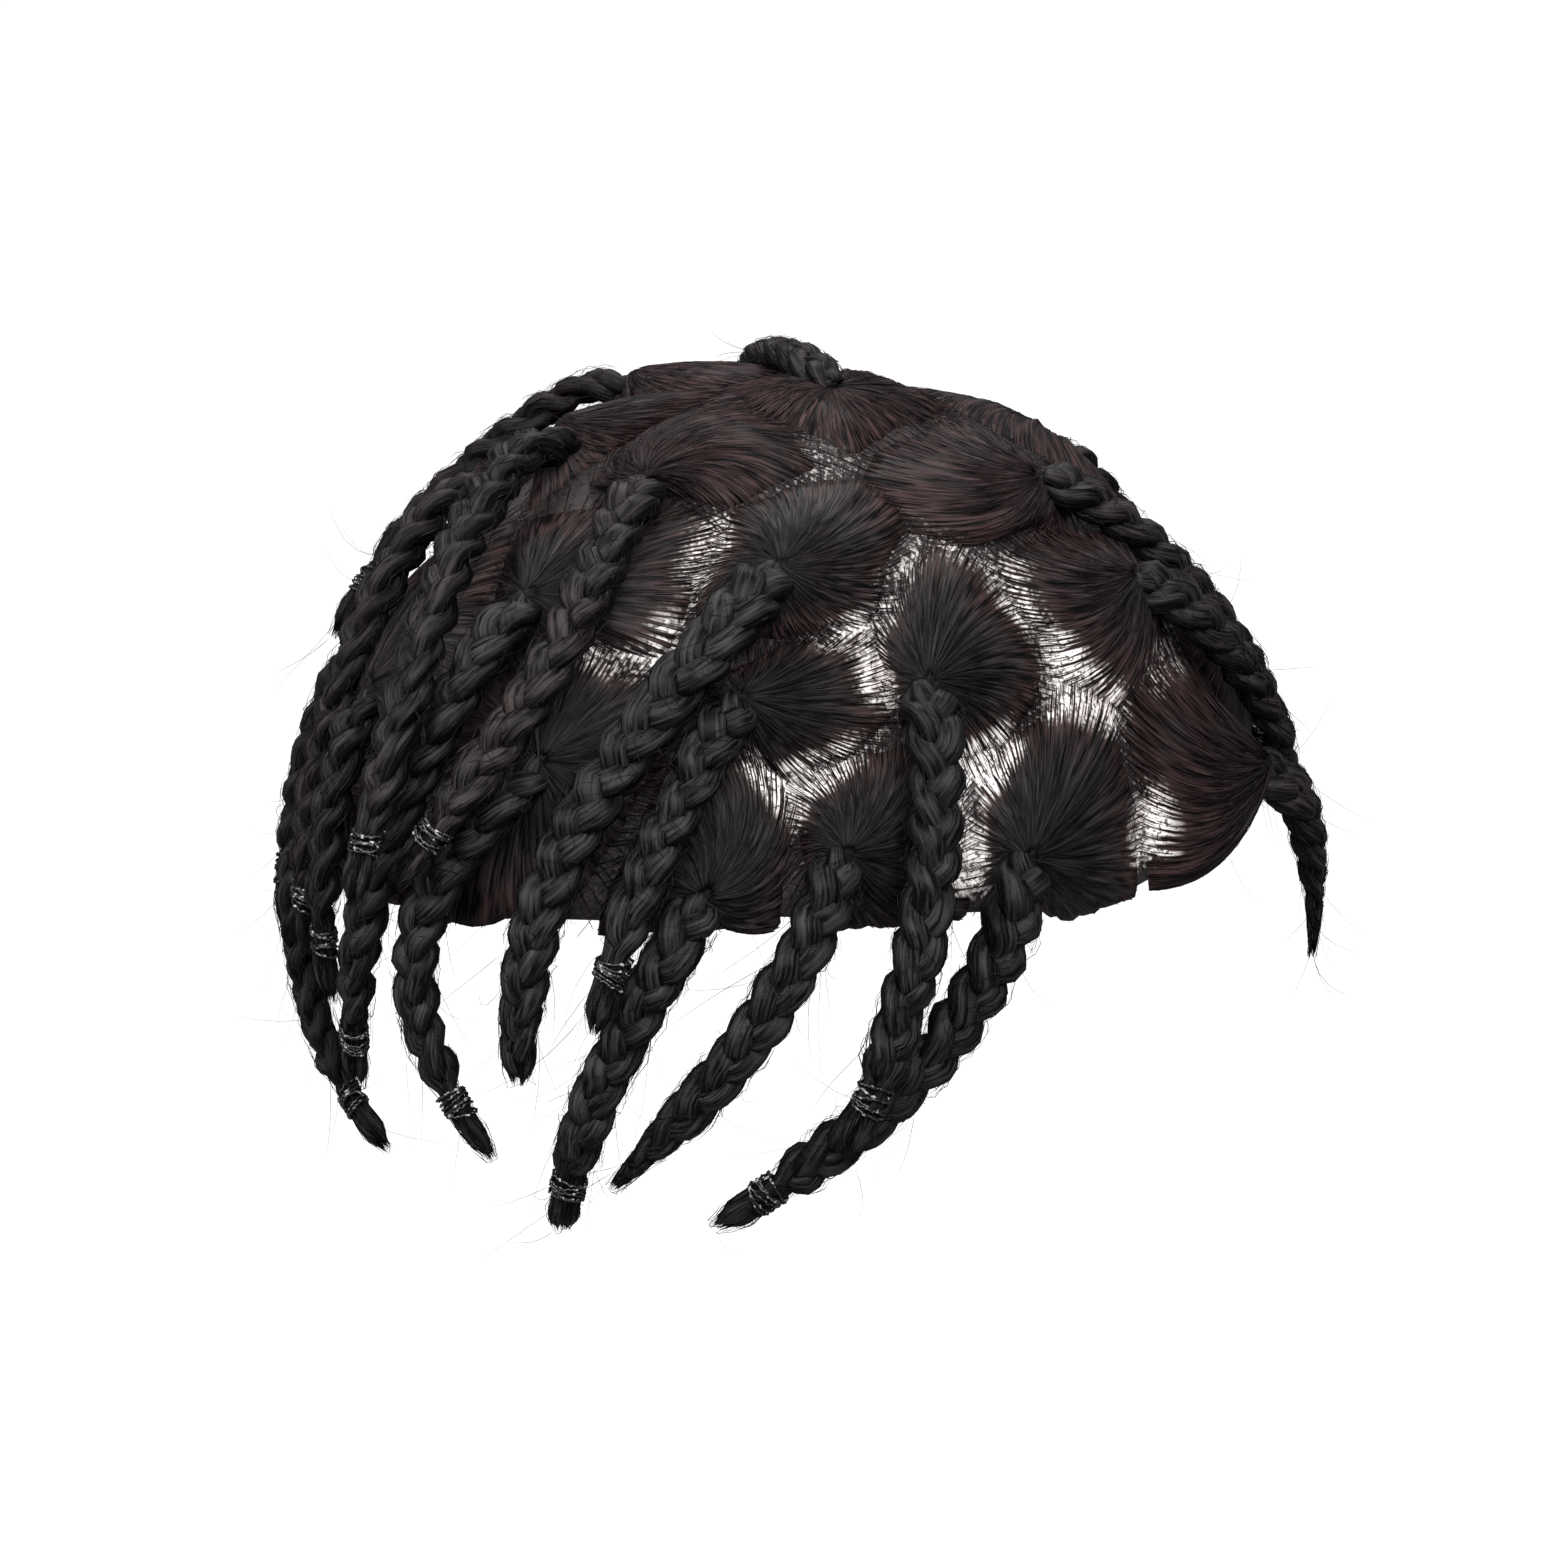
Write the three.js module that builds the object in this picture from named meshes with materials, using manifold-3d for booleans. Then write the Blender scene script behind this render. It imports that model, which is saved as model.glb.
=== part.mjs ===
// A braided toupee: a thin domed base shaped to the head, and the locks of hair that grow from it.
// Each lock is gathered from its own section of the base, plaited from the root, and most are bound
// with an elastic tie near the end. Pale partings of bare base run between the sections.
// Millimetres, +Z up. The origin is the inside of the crown, the front hairline faces -Y, and the
// wearer's left is +X. Places on the head are an azimuth (0 front, 90 left, 180 back) and a polar
// angle from the crown, both in degrees, with a height above the inside of the base.
import * as THREE from "three";
import { mergeVertices } from "three/addons/utils/BufferGeometryUtils.js";
import Module from "manifold-3d";

// The head form that the inside of the base follows
const HEAD_BREADTH = 154;
const HEAD_LENGTH = 192;
const CROWN_HEIGHT = 92;
const HEAD_RADIUS = 88;
const BACK_FULLNESS = 5;
const BACK_OF_CROWN = [180, 45];
const BACK_TIGHTNESS = 4;

// The base
const BASE_WALL = 1.2;
const RIM_POLAR = 85;
const RIM_RISE = 3;
const RIM_RISE_AZIMUTH = 215;
const RIM_RISE_REACH = [18, 60];
const BASE_SEGMENTS_ROUND = 32;
const BASE_SEGMENTS_DOWN = 7;

// The gathered sections
const PARTING_WIDTH = 5;
const RIM_MARGIN = 2;
const SECTION_FLOOR = 2.0;
const SECTION_SIDES = 10;
// From the root over the top to the outline, then back under: share of the way out, and height
const SECTION_PROFILE = [
  { share: 0, height: 8.6 },
  { share: 0.3, height: 6.4 },
  { share: 0.6, height: 4.3 },
  { share: 1, height: 2.9 },
  { share: 1, height: SECTION_FLOOR },
  { share: 0.5, height: SECTION_FLOOR },
];

// The braids
const BRAID_ROOT_HEIGHT = 6.4;
const BRAID_LIE_HEIGHT = 9.3;
const BRAID_CLIMB_LENGTH = 11;
const BRAID_FLATNESS = 0.7;
const BRAID_TAPER = 0.74;
const PLAIT_STEP = 6.2;
const FEWEST_CROSSINGS = 2;
const PLAIT_SWING = 0.1;
const BRAID_SIDES = 6;
const TAIL_LENGTH = 13;
const TAIL_BULGE_SHARE = 0.55;
const TAIL_BULGE = 1.15;
const TAIL_END = 0.6;
const WISP_LENGTH = 22;
const WISP_END = 0.22;

// The elastic ties
const NECK_SHARE = 0.5;
const NECK_HALF_LENGTH = 2.6;
const TIE_CLEARANCE = 0.35;
const TIE_THICKNESS = 1.7;
const TIE_HALF_LENGTH = 2.2;
const TIE_SIDES = 4;

// Fineness of the working: how near two points count as one, and how closely lengths are measured
const WELD_DISTANCE = 1e-3;
const REACH_PRECISION = 0.05;
const LINE_DIVISIONS = 80;

// One row per lock: its name; the middle of its section, where its braid starts, and where its hair ends,
// each as [azimuth, polar], with a polar angle below zero on the other side of the crown, for a braid that runs
// over it; how far the braid bows sideways, in degrees of azimuth; how much higher than most it lies at the root
// and at the end; its width at the root; and whether it ends in a tie or thins to a wisp.
const LOCK_ROWS = [
  ["crown_1", [199, 23], [199.5, 33.5], [185.5, 80], 7, [0, 7.8], 11, "tie"],
  ["crown_2", [255, 8], [72, -10], [58, 50], 0, [-4.2, 0.6], 8.5, "tie"],
  ["crown_3", [150, 22], [165, 29.5], [180, 83], 7.5, [2, 9], 11, "tie"],
  ["crown_4", [95, 19], [106, 24], [127, 66], 0, [0.8, 5], 10, "tie"],
  ["upper_1", [229, 43], [227, 44], [198, 100], -7, [0, 0], 12, "wisp"],
  ["upper_2", [199, 42], [189.5, 49.5], [167.5, 106], 0, [0, 0], 10.5, "tie"],
  ["upper_3", [133, 36], [150, 38.5], [155, 94], 5, [0.5, -0.5], 11, "tie"],
  ["upper_4", [88, 35], [88, 43], [104, 96], 0, [0, 0], 11, "tie"],
  ["upper_5", [32, 35], [22, 43], [20, 94], 0, [0, 0], 11, "tie"],
  ["upper_6", [338, 34], [357, 42], [357, 90], 0, [-2, 2.5], 10, "tie"],
  ["upper_7", [283, 31], [289, 35], [313, 73], 3, [-2.2, -0.5], 10, "wisp"],
  ["middle_1", [255, 55], [247, 58], [235, 106], 2.5, [0, 6.5], 11.5, "tie"],
  ["middle_2", [232, 58], [223, 58.5], [209, 92.5], -1.5, [0, 5.6], 10.5, "tie"],
  ["middle_3", [201, 65], [199, 66], [192, 110], -11, [0, 0], 10.5, "tie"],
  ["middle_4", [160, 58], [165.5, 63], [164.5, 97], 0, [0, 0], 10, "tie"],
  ["middle_5", [120, 57], [126, 64], [138, 96], 0, [0, 4], 11, "tie"],
  ["middle_6", [82, 57], [79, 64], [81, 98], 0, [0, 0], 11, "tie"],
  ["middle_7", [46, 56], [50, 63], [52, 98], 0, [0, 0], 11, "tie"],
  ["middle_8", [8, 55], [6, 62], [6, 98], 0, [0, 0], 11, "tie"],
  ["middle_9", [323, 64], [329, 66], [334, 87], 0, [0, 0], 10, "tie"],
  ["middle_10", [283, 50], [290, 51], [317, 88], 2.4, [0, 2], 11, "wisp"],
  ["rim_1", [291, 74], [302, 77], [311, 101], 4, [3, 8], 11, "wisp"],
  ["rim_2", [267, 73], [257, 78], [220, 117], 6.5, [0, 0], 12, "tie"],
  ["rim_3", [239, 72], [235.5, 75], [208, 112], 3.5, [0, 0], 11, "wisp"],
  ["rim_4", [221, 73], [220, 79], [199, 119], -1, [0, 0], 11, "tie"],
  ["rim_5", [152, 78], [148, 82], [169, 114], -9, [0, 0], 10.5, "tie"],
  ["rim_6", [122, 78], [117, 82], [116, 104], 0, [0, 0], 11, "tie"],
  ["rim_7", [92, 77], [90, 82], [91, 106], 0, [0, 0], 11, "tie"],
  ["rim_8", [60, 77], [63, 82], [64, 106], 0, [0, 0], 11, "tie"],
  ["rim_9", [30, 77], [32, 82], [32, 106], 0, [0, 0], 11, "tie"],
  ["rim_10", [350, 77], [346, 80], [346, 97], 0, [0, 0], 11, "tie"],
];
const LOCKS = LOCK_ROWS.map(([name, section, root, tip, sway, lift, width, end]) => {
  return { name, section, root, tip, sway, lift, width, tied: end === "tie" };
});

const wasm = await Module();
wasm.setup();

const LACE = { color: 0xd9c3b6, roughness: 0.8, metalness: 0 };
const HAIR = { color: 0x1b1818, roughness: 0.45, metalness: 0 };
const ELASTIC = { color: 0x0c0c0d, roughness: 0.3, metalness: 0 };

const UP = new THREE.Vector3(0, 0, 1);

// Direction from the middle of the head form
function direction([azimuth, polar]) {
  const round = THREE.MathUtils.degToRad(azimuth);
  const down = THREE.MathUtils.degToRad(polar);
  return new THREE.Vector3(
    Math.sin(down) * Math.sin(round),
    -Math.sin(down) * Math.cos(round),
    Math.cos(down)
  );
}

// Point at a height above the inside of the base: an oval head, fuller behind the crown
function onHead(towards, height) {
  const facing = Math.max(0, towards.dot(direction(BACK_OF_CROWN)));
  const grown = height + BACK_FULLNESS * facing ** BACK_TIGHTNESS;
  return new THREE.Vector3(
    towards.x * (HEAD_BREADTH / 2 + grown),
    towards.y * (HEAD_LENGTH / 2 + grown),
    towards.z * (CROWN_HEIGHT + grown) - CROWN_HEIGHT
  );
}

// Outward normal of the head form
function outward(towards) {
  return new THREE.Vector3(
    towards.x / HEAD_BREADTH,
    towards.y / HEAD_LENGTH,
    towards.z / (2 * CROWN_HEIGHT)
  ).normalize();
}

// A closed geometry with every vertex put where place(u, v) says, and coincident vertices joined
function formed(geometry, place) {
  const uv = geometry.getAttribute("uv");
  const position = geometry.getAttribute("position");
  for (let i = 0; i < position.count; i += 1) {
    const point = place(uv.getX(i), uv.getY(i));
    position.setXYZ(i, point.x, point.y, point.z);
  }
  geometry.deleteAttribute("uv");
  geometry.deleteAttribute("normal");
  return mergeVertices(geometry, WELD_DISTANCE);
}

function solidOf(geometry) {
  const position = geometry.getAttribute("position");
  const mesh = new wasm.Mesh({
    numProp: 3,
    vertProperties: Float32Array.from(position.array),
    triVerts: Uint32Array.from(geometry.getIndex().array),
  });
  mesh.merge();
  return new wasm.Manifold(mesh);
}

function geometryOf(solid) {
  const mesh = solid.getMesh();
  const geometry = new THREE.BufferGeometry();
  geometry.setAttribute("position", new THREE.BufferAttribute(mesh.vertProperties, 3));
  geometry.setIndex(new THREE.BufferAttribute(mesh.triVerts, 1));
  geometry.computeVertexNormals();
  return geometry;
}

function named(name, geometry, finish) {
  const mesh = new THREE.Mesh(geometry, new THREE.MeshStandardMaterial(finish));
  mesh.name = name;
  return mesh;
}

// Polar angle of the rim, which rises a little behind the wearer's right ear
function rimPolar(azimuth) {
  const away = Math.abs(azimuth - RIM_RISE_AZIMUTH);
  return RIM_POLAR - RIM_RISE * (1 - THREE.MathUtils.smoothstep(away, ...RIM_RISE_REACH));
}

// The base: one wall turned about the crown's axis and stretched to the head's breadth and length
function baseGeometry() {
  const profile = [];
  for (let i = 0; i <= BASE_SEGMENTS_DOWN; i += 1) {
    profile.push({ share: i / BASE_SEGMENTS_DOWN, height: 0 });
  }
  for (let i = BASE_SEGMENTS_DOWN; i >= 0; i -= 1) {
    profile.push({ share: i / BASE_SEGMENTS_DOWN, height: BASE_WALL });
  }
  const lathe = new THREE.LatheGeometry(profile.map(() => new THREE.Vector2()), BASE_SEGMENTS_ROUND);
  return formed(lathe, (u, v) => {
    const at = profile[Math.round(v * (profile.length - 1))];
    const azimuth = 360 * (u % 1);
    return onHead(direction([azimuth, at.share * rimPolar(azimuth)]), at.height);
  });
}

// Where a step from a section's middle along a bearing arrives: bearing 0 points down the head
function stepFrom(middle, bearing, distance) {
  const across = new THREE.Vector3().crossVectors(UP, middle).normalize();
  const down = new THREE.Vector3().crossVectors(across, middle).normalize();
  const heading = down.multiplyScalar(Math.cos(bearing)).addScaledVector(across, Math.sin(bearing));
  const turn = distance / HEAD_RADIUS;
  return middle.clone().multiplyScalar(Math.cos(turn)).addScaledVector(heading, Math.sin(turn));
}

// How low a section may reach where it meets the rim
function lowestSection(towards) {
  const azimuth = THREE.MathUtils.euclideanModulo(THREE.MathUtils.radToDeg(Math.atan2(towards.x, -towards.y)), 360);
  return Math.cos(THREE.MathUtils.degToRad(rimPolar(azimuth))) + RIM_MARGIN / HEAD_RADIUS;
}

// How far a section reaches along a bearing: to the parting with its neighbours, or to the rim
function sectionReach(lock, bearing) {
  const middle = direction(lock.section);
  const others = LOCKS.filter((other) => other !== lock).map((other) => direction(other.section));
  let inside = 0;
  let outside = HEAD_RADIUS;
  while (outside - inside > REACH_PRECISION) {
    const distance = (inside + outside) / 2;
    const point = stepFrom(middle, bearing, distance);
    const own = point.angleTo(middle) * HEAD_RADIUS + PARTING_WIDTH;
    const free = others.every((other) => point.angleTo(other) * HEAD_RADIUS > own);
    if (free && point.z > lowestSection(point)) inside = distance;
    else outside = distance;
  }
  return inside;
}

// A section: hair combed from its outline up to the root of the braid
function sectionGeometry(lock) {
  const middle = direction(lock.section);
  const root = direction(lock.root);
  const rows = SECTION_PROFILE;
  const outline = [];
  for (let i = 0; i < SECTION_SIDES; i += 1) {
    const bearing = (2 * Math.PI * i) / SECTION_SIDES;
    outline.push(stepFrom(middle, bearing, sectionReach(lock, bearing)));
  }
  return formed(new THREE.SphereGeometry(1, SECTION_SIDES, rows.length), (u, v) => {
    const row = Math.round((1 - v) * rows.length);
    if (row === rows.length) return onHead(root, SECTION_FLOOR);
    const edge = outline[Math.round(u * SECTION_SIDES) % SECTION_SIDES];
    const { share, height } = rows[row];
    const raised = height > SECTION_FLOOR ? lock.lift[0] * (1 - share) : 0;
    return onHead(root.clone().lerp(edge, share).normalize(), height + raised);
  });
}

// The line that a braid follows over the head and past its rim
class BraidLine extends THREE.Curve {
  constructor(lock) {
    super();
    this.lock = lock;
    this.arcLengthDivisions = LINE_DIVISIONS;
    this.climb = 1;
    this.climb = BRAID_CLIMB_LENGTH / this.getLength();
    this.updateArcLengths();
  }

  towards(t) {
    const { root, tip, sway } = this.lock;
    const azimuth = root[0] + (tip[0] - root[0]) * t + sway * Math.sin(Math.PI * t);
    return direction([azimuth, root[1] + (tip[1] - root[1]) * t]);
  }

  getPoint(t) {
    const lie = BRAID_LIE_HEIGHT + THREE.MathUtils.lerp(...this.lock.lift, t);
    const climbed = THREE.MathUtils.smoothstep(t, 0, this.climb);
    const start = Math.min(BRAID_ROOT_HEIGHT, lie);
    return onHead(this.towards(t), THREE.MathUtils.lerp(start, lie, climbed));
  }

  // Middle, sideways and outward directions at a distance along the braid
  frameAt(distance) {
    const share = THREE.MathUtils.clamp(distance / this.getLength(), 0, 1);
    const along = this.getTangentAt(share);
    const out = outward(this.towards(this.getUtoTmapping(share)));
    const side = new THREE.Vector3().crossVectors(along, out).normalize();
    out.crossVectors(side, along).normalize();
    return { middle: this.getPointAt(share), along, side, out };
  }
}

// A point of the braid's oval section, at an angle from its side
function onOval(frame, halfWidth, halfThickness, angle, shift) {
  return frame.middle
    .clone()
    .addScaledVector(frame.side, halfWidth * Math.cos(angle) + shift)
    .addScaledVector(frame.out, halfThickness * Math.sin(angle));
}

// The angle of the braid's corner that lies at a share of the way round
function cornerAngle(share) {
  return (2 * Math.PI * (Math.round(share * BRAID_SIDES) % BRAID_SIDES)) / BRAID_SIDES;
}

function tieDistance(line) {
  return line.getLength() - TAIL_LENGTH;
}

// Cross-sections of a braid from root to end: the plait swings from side to side at each crossing
function braidRings(lock, line) {
  const length = line.getLength();
  const plaited = lock.tied ? tieDistance(line) - 2 * NECK_HALF_LENGTH : length - WISP_LENGTH;
  const crossings = Math.max(FEWEST_CROSSINGS, Math.round(plaited / PLAIT_STEP));
  const rings = [];
  for (let i = 0; i <= crossings; i += 1) {
    const distance = (plaited * i) / crossings;
    const width = lock.width * THREE.MathUtils.lerp(1, BRAID_TAPER, distance / length);
    const swing = i === 0 ? 0 : PLAIT_SWING * width * (i % 2 ? 1 : -1);
    rings.push({ distance, width, swing });
  }
  const neck = lock.width * NECK_SHARE;
  if (lock.tied) {
    const tie = tieDistance(line);
    rings.push({ distance: tie - NECK_HALF_LENGTH, width: neck, swing: 0 });
    rings.push({ distance: tie + NECK_HALF_LENGTH, width: neck, swing: 0 });
    rings.push({ distance: tie + TAIL_BULGE_SHARE * TAIL_LENGTH, width: TAIL_BULGE * neck, swing: 0 });
    rings.push({ distance: length, width: TAIL_END * neck, swing: 0 });
  } else {
    rings.push({ distance: length - WISP_LENGTH / 2, width: neck, swing: 0 });
    rings.push({ distance: length, width: lock.width * WISP_END, swing: 0 });
  }
  return rings;
}

function braidGeometry(lock, line) {
  const rings = braidRings(lock, line);
  const rows = rings.length + 1;
  return formed(new THREE.SphereGeometry(1, BRAID_SIDES, rows), (u, v) => {
    const row = Math.round((1 - v) * rows);
    const ring = rings[THREE.MathUtils.clamp(row - 1, 0, rings.length - 1)];
    const frame = line.frameAt(ring.distance);
    if (row === 0 || row === rows) return onOval(frame, 0, 0, 0, ring.swing);
    const angle = cornerAngle(u);
    return onOval(frame, ring.width / 2, (ring.width * BRAID_FLATNESS) / 2, angle, ring.swing);
  });
}

// A lock is one body of hair: the gathered section and its braid
function lockGeometry(lock, line) {
  return geometryOf(solidOf(sectionGeometry(lock)).add(solidOf(braidGeometry(lock, line))));
}

// An elastic tie: a band round the neck of the braid
function tieGeometry(lock, line) {
  const frame = line.frameAt(tieDistance(line));
  const halfNeck = (lock.width * NECK_SHARE) / 2;
  return formed(new THREE.TorusGeometry(1, 1, TIE_SIDES, BRAID_SIDES), (u, v) => {
    const round = 2 * Math.PI * v;
    const grown = TIE_CLEARANCE + (TIE_THICKNESS * (1 + Math.cos(round))) / 2;
    const angle = cornerAngle(u);
    return onOval(frame, halfNeck + grown, halfNeck * BRAID_FLATNESS + grown, angle, 0).addScaledVector(
      frame.along,
      -TIE_HALF_LENGTH * Math.sin(round)
    );
  });
}

const toupee = new THREE.Group();
toupee.add(named("base", baseGeometry(), LACE));
for (const lock of LOCKS) {
  const line = new BraidLine(lock);
  toupee.add(named(`${lock.name}_lock`, lockGeometry(lock, line), HAIR));
  if (lock.tied) toupee.add(named(`${lock.name}_tie`, tieGeometry(lock, line), ELASTIC));
}

export default toupee;
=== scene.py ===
# A braided toupee: combed sections and plaited braids of fine hair, elastic ties and a lace base
from collections import namedtuple

import bpy
import numpy as np
from mathutils import Matrix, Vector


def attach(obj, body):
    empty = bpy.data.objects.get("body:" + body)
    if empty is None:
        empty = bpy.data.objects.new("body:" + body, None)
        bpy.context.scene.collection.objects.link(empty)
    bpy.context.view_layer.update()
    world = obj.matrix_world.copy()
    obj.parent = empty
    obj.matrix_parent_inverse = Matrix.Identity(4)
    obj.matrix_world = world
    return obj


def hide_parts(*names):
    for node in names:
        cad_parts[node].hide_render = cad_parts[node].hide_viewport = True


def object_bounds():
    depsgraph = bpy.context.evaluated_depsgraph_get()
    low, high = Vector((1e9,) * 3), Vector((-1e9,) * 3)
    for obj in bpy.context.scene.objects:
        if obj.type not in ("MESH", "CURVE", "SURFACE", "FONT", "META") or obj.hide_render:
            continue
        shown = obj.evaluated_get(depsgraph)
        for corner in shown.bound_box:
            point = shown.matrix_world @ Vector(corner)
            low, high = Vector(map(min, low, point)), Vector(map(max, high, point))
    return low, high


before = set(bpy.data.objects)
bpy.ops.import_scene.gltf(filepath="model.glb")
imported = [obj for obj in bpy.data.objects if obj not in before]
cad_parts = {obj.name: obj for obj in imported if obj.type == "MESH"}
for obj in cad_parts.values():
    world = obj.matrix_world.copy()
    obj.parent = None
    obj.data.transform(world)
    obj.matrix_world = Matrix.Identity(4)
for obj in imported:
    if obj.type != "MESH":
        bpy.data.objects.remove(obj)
CAD_LOW, CAD_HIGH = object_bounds()

MM = 0.001
TURN = 2 * np.pi
HAIR_SIDES = 3
UP = np.array([0.0, 0.0, 1.0])

# The dome that the base follows, as the part's source has it
DOME_HALF_BREADTH = 77 * MM
DOME_HALF_LENGTH = 96 * MM
CROWN_HEIGHT = 92 * MM
DOME_RADIUS = 88 * MM
BACK_FULLNESS = 5 * MM
BACK_OF_CROWN = (180, 45)
BACK_TIGHTNESS = 4

# The base, with the angles of its rim in degrees
BASE_WALL = 1.2 * MM
RIM_POLAR = 85
RIM_RISE = 3
RIM_RISE_AZIMUTH = 215
RIM_RISE_REACH = (18, 60)
RIM_WAVE = 0.5
RIM_WAVES = ((5, 0.4), (11, 0.3), (19, 0.3))
RIM_ROUNDING = 0.25
BASE_STEPS_ROUND = 96
BASE_STEPS_DOWN = 32
BASE_TOP_SHARE = 0.004
BASE_SEED = 7

# How bare the lace is where hair covers it, and on its inside
LEAST_BARE = 0.02
INSIDE_BARE = 4.0
# Where the partings show widest, as (azimuth, polar), and how bare they are there; they lie on the side that
# the key lamp lights, and the lace is painted palest there, partly as painted light
BARE_AND_LIT_PLACES = (
    ((274, 61), 1.9), ((271, 49), 0.9), ((259, 40), 0.5), ((240, 53), 1.2), ((249, 46), 0.6),
    ((231, 65), 1.5), ((254, 67), 1.6), ((251, 77), 1.0), ((282, 80), 1.2), ((293, 61), 0.8),
    ((205, 52), 0.9), ((213, 40), 0.7), ((234, 24), 0.3),
)
# How far from such a place the lace stays as bare, and how far until hair covers it
BARE_REACH = (3 * MM, 17 * MM)

# The gathered sections
PARTING_WIDTH = 5 * MM
RIM_OVERHANG = 0.5 * MM
SECTION_FLOOR = 0.9 * MM
SECTION_EDGE = 1.25 * MM
SECTION_PEAK = 8.6 * MM
SECTION_ROUNDING = 0.9
SECTION_BEARINGS = 100
SECTION_RINGS = 12
SECTION_TOP_SHARE = 0.02
SECTION_FLOOR_SHARES = np.array([0.05, 0.5, 1.0])
SECTION_RAGGEDNESS = 0.012
SECTION_OVERLAP = 1.7 * MM
SECTION_WAVES = ((2, 0.02), (3, 0.03), (5, 0.03), (8, 0.02))
SECTION_SWIRL = 0.9
COMB_RIDGES = ((9, 0.05), (17, 0.04), (29, 0.04), (37, 0.04))
REACH_HALVINGS = 14
LOCK_SEED = 100

# The hairs combed over a section, which start and end at shares of the way from its braid's root
COMBED_HAIRS = 380
COMBED_START = (0.8, 0.4)
COMBED_RUN = (0.45, 0.95)
COMBED_END = 0.04
COMBED_THICKNESS = (0.08 * MM, 0.22 * MM)
COMBED_LIFT = (0.02 * MM, 0.22 * MM)
COMBED_TAPER = np.array([0.8, 1.0, 0.8])
COMBED_STEPS = np.array([0.0, 0.12, 0.5, 0.88, 1.0])

# The hairs that cross the partings: how many go round a section; how far out from its outline they start
# where the base is bare, where it is covered and at the rim; how far they run on to the section; how thick
# they are; and how bare the base has to be for them to show
Fringe = namedtuple("Fringe", "count bare covered rim run thickness least_bare")
STRIPES = Fringe(
    count=92, bare=(1.5 * MM, 7.0 * MM), covered=(2.0 * MM, 8.0 * MM), rim=(-0.5 * MM, 0.6 * MM),
    run=(2.0 * MM, 5.0 * MM), thickness=(0.2 * MM, 0.36 * MM), least_bare=0.0,
)
FINE_FRINGE = Fringe(
    count=150, bare=(-5.0 * MM, 0.5 * MM), covered=(-3.0 * MM, 2.2 * MM), rim=(-1.0 * MM, 1.0 * MM),
    run=(5.0 * MM, 9.0 * MM), thickness=(0.12 * MM, 0.28 * MM), least_bare=0.0,
)
STUBBLE = Fringe(
    count=200, bare=(0.0 * MM, 5.5 * MM), covered=(0.0 * MM, 5.5 * MM), rim=(-1.0 * MM, 0.0 * MM),
    run=(0.5 * MM, 3.0 * MM), thickness=(0.08 * MM, 0.17 * MM), least_bare=0.06,
)
FRINGE_TAPER = np.array([0.7, 1.0])
FRINGE_STEPS = np.array([0.0, 0.06, 0.7, 1.0])
FRINGE_SCATTER = 0.35
FRINGE_END = 0.1
STUBBLE_SEED = 300
# How many degrees above the rim its own fringe starts
FRINGE_BAND = 1.5
# How far past the middle of a parting these hairs may lie, where it is covered and where it is bare
CROSSING = (6.0 * MM, 1.1 * MM)

# The braids
BRAID_ROOT_HEIGHT = 6.4 * MM
BRAID_LIE_HEIGHT = 9.3 * MM
BRAID_CLIMB_LENGTH = 11 * MM
BRAID_TAPER = 0.74
BRAID_LINE_STEPS = 400
PLAIT_LENGTH = 23 * MM
STRANDS = 3
STRAND_SWING = 0.48
STRAND_WEAVE = 0.33
STRAND_HALF_WIDTH = 0.5
STRAND_HALF_THICKNESS = 0.38
STRAND_SIDES = 14
STRAND_STEP = 1.15 * MM
STRAND_SQUARENESS = 0.72
STRAND_FLUTES = ((4, 0.03), (6, 0.04))
STRAND_TWIST = 60 * MM
PLAIT_UNEVENNESS = 0.35
STRAND_UNEVENNESS = 0.1
PLAIT_WAVES = ((0.9, 0.4), (2.3, 0.6))
ROOT_GATHER = 0.6
ROOT_GATHER_LENGTH = 5 * MM
TAIL_LENGTH = 13 * MM
TAIL_BULGE_SHARE = 0.55
TAIL_BULGE = 1.15
TAIL_END = 0.6
WISP_LENGTH = 26 * MM
WISP_ENDS = {"wisp": 0.36, "blunt": 0.66}
WISP_BRUSH_LENGTH = 11 * MM
STRAND_CLOSING_LENGTH = 4.5 * MM
STREAK_SHIFT = 9

# The hairs of a braid: those that hug a strand and those that stray from it, the frizz all round it, and the
# brush at its end
HUGGING_HAIRS = 56
HUGGING_LENGTH = (5 * MM, 18 * MM)
HUGGING_THICKNESS = (0.1 * MM, 0.3 * MM)
HUGGING_TAPER = np.array([0.9, 1.0, 1.0, 0.8])
HUGGING_FACE = 0.68 * np.pi
HUGGING_DRIFT = 0.25
HUGGING_RISE = 1.04
HUGGING_TUCK = -0.08
STRAYING_SHARE = 0.5
STRAYING_LIFT = 0.8
FRIZZ_SPACING = 0.5 * MM
FRIZZ_LENGTH = (4 * MM, 13 * MM)
FRIZZ_THICKNESS = (0.08 * MM, 0.17 * MM)
FRIZZ_TAPER = np.array([1.0, 1.0, 0.8])
FRIZZ_WANDER = 0.5
FRIZZ_RISE = (0.95, 1.22)
# How far round from a strand's outer face a braid hair's place across the combing lies, which sets how much
# painted shade the plaited finish gives it
LIT_FACE = 0.28
BRUSH_HAIRS = 110
BRUSH_REACH = (-3.0 * MM, 0.6 * MM)
BRUSH_THICKNESS = (0.2 * MM, 0.45 * MM)
BRUSH_ROUNDING = 0.4
BRUSH_FILL = (0.1, 1)
BRUSH_TAPER = np.array([1.0, 1.0, 0.9])

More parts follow.
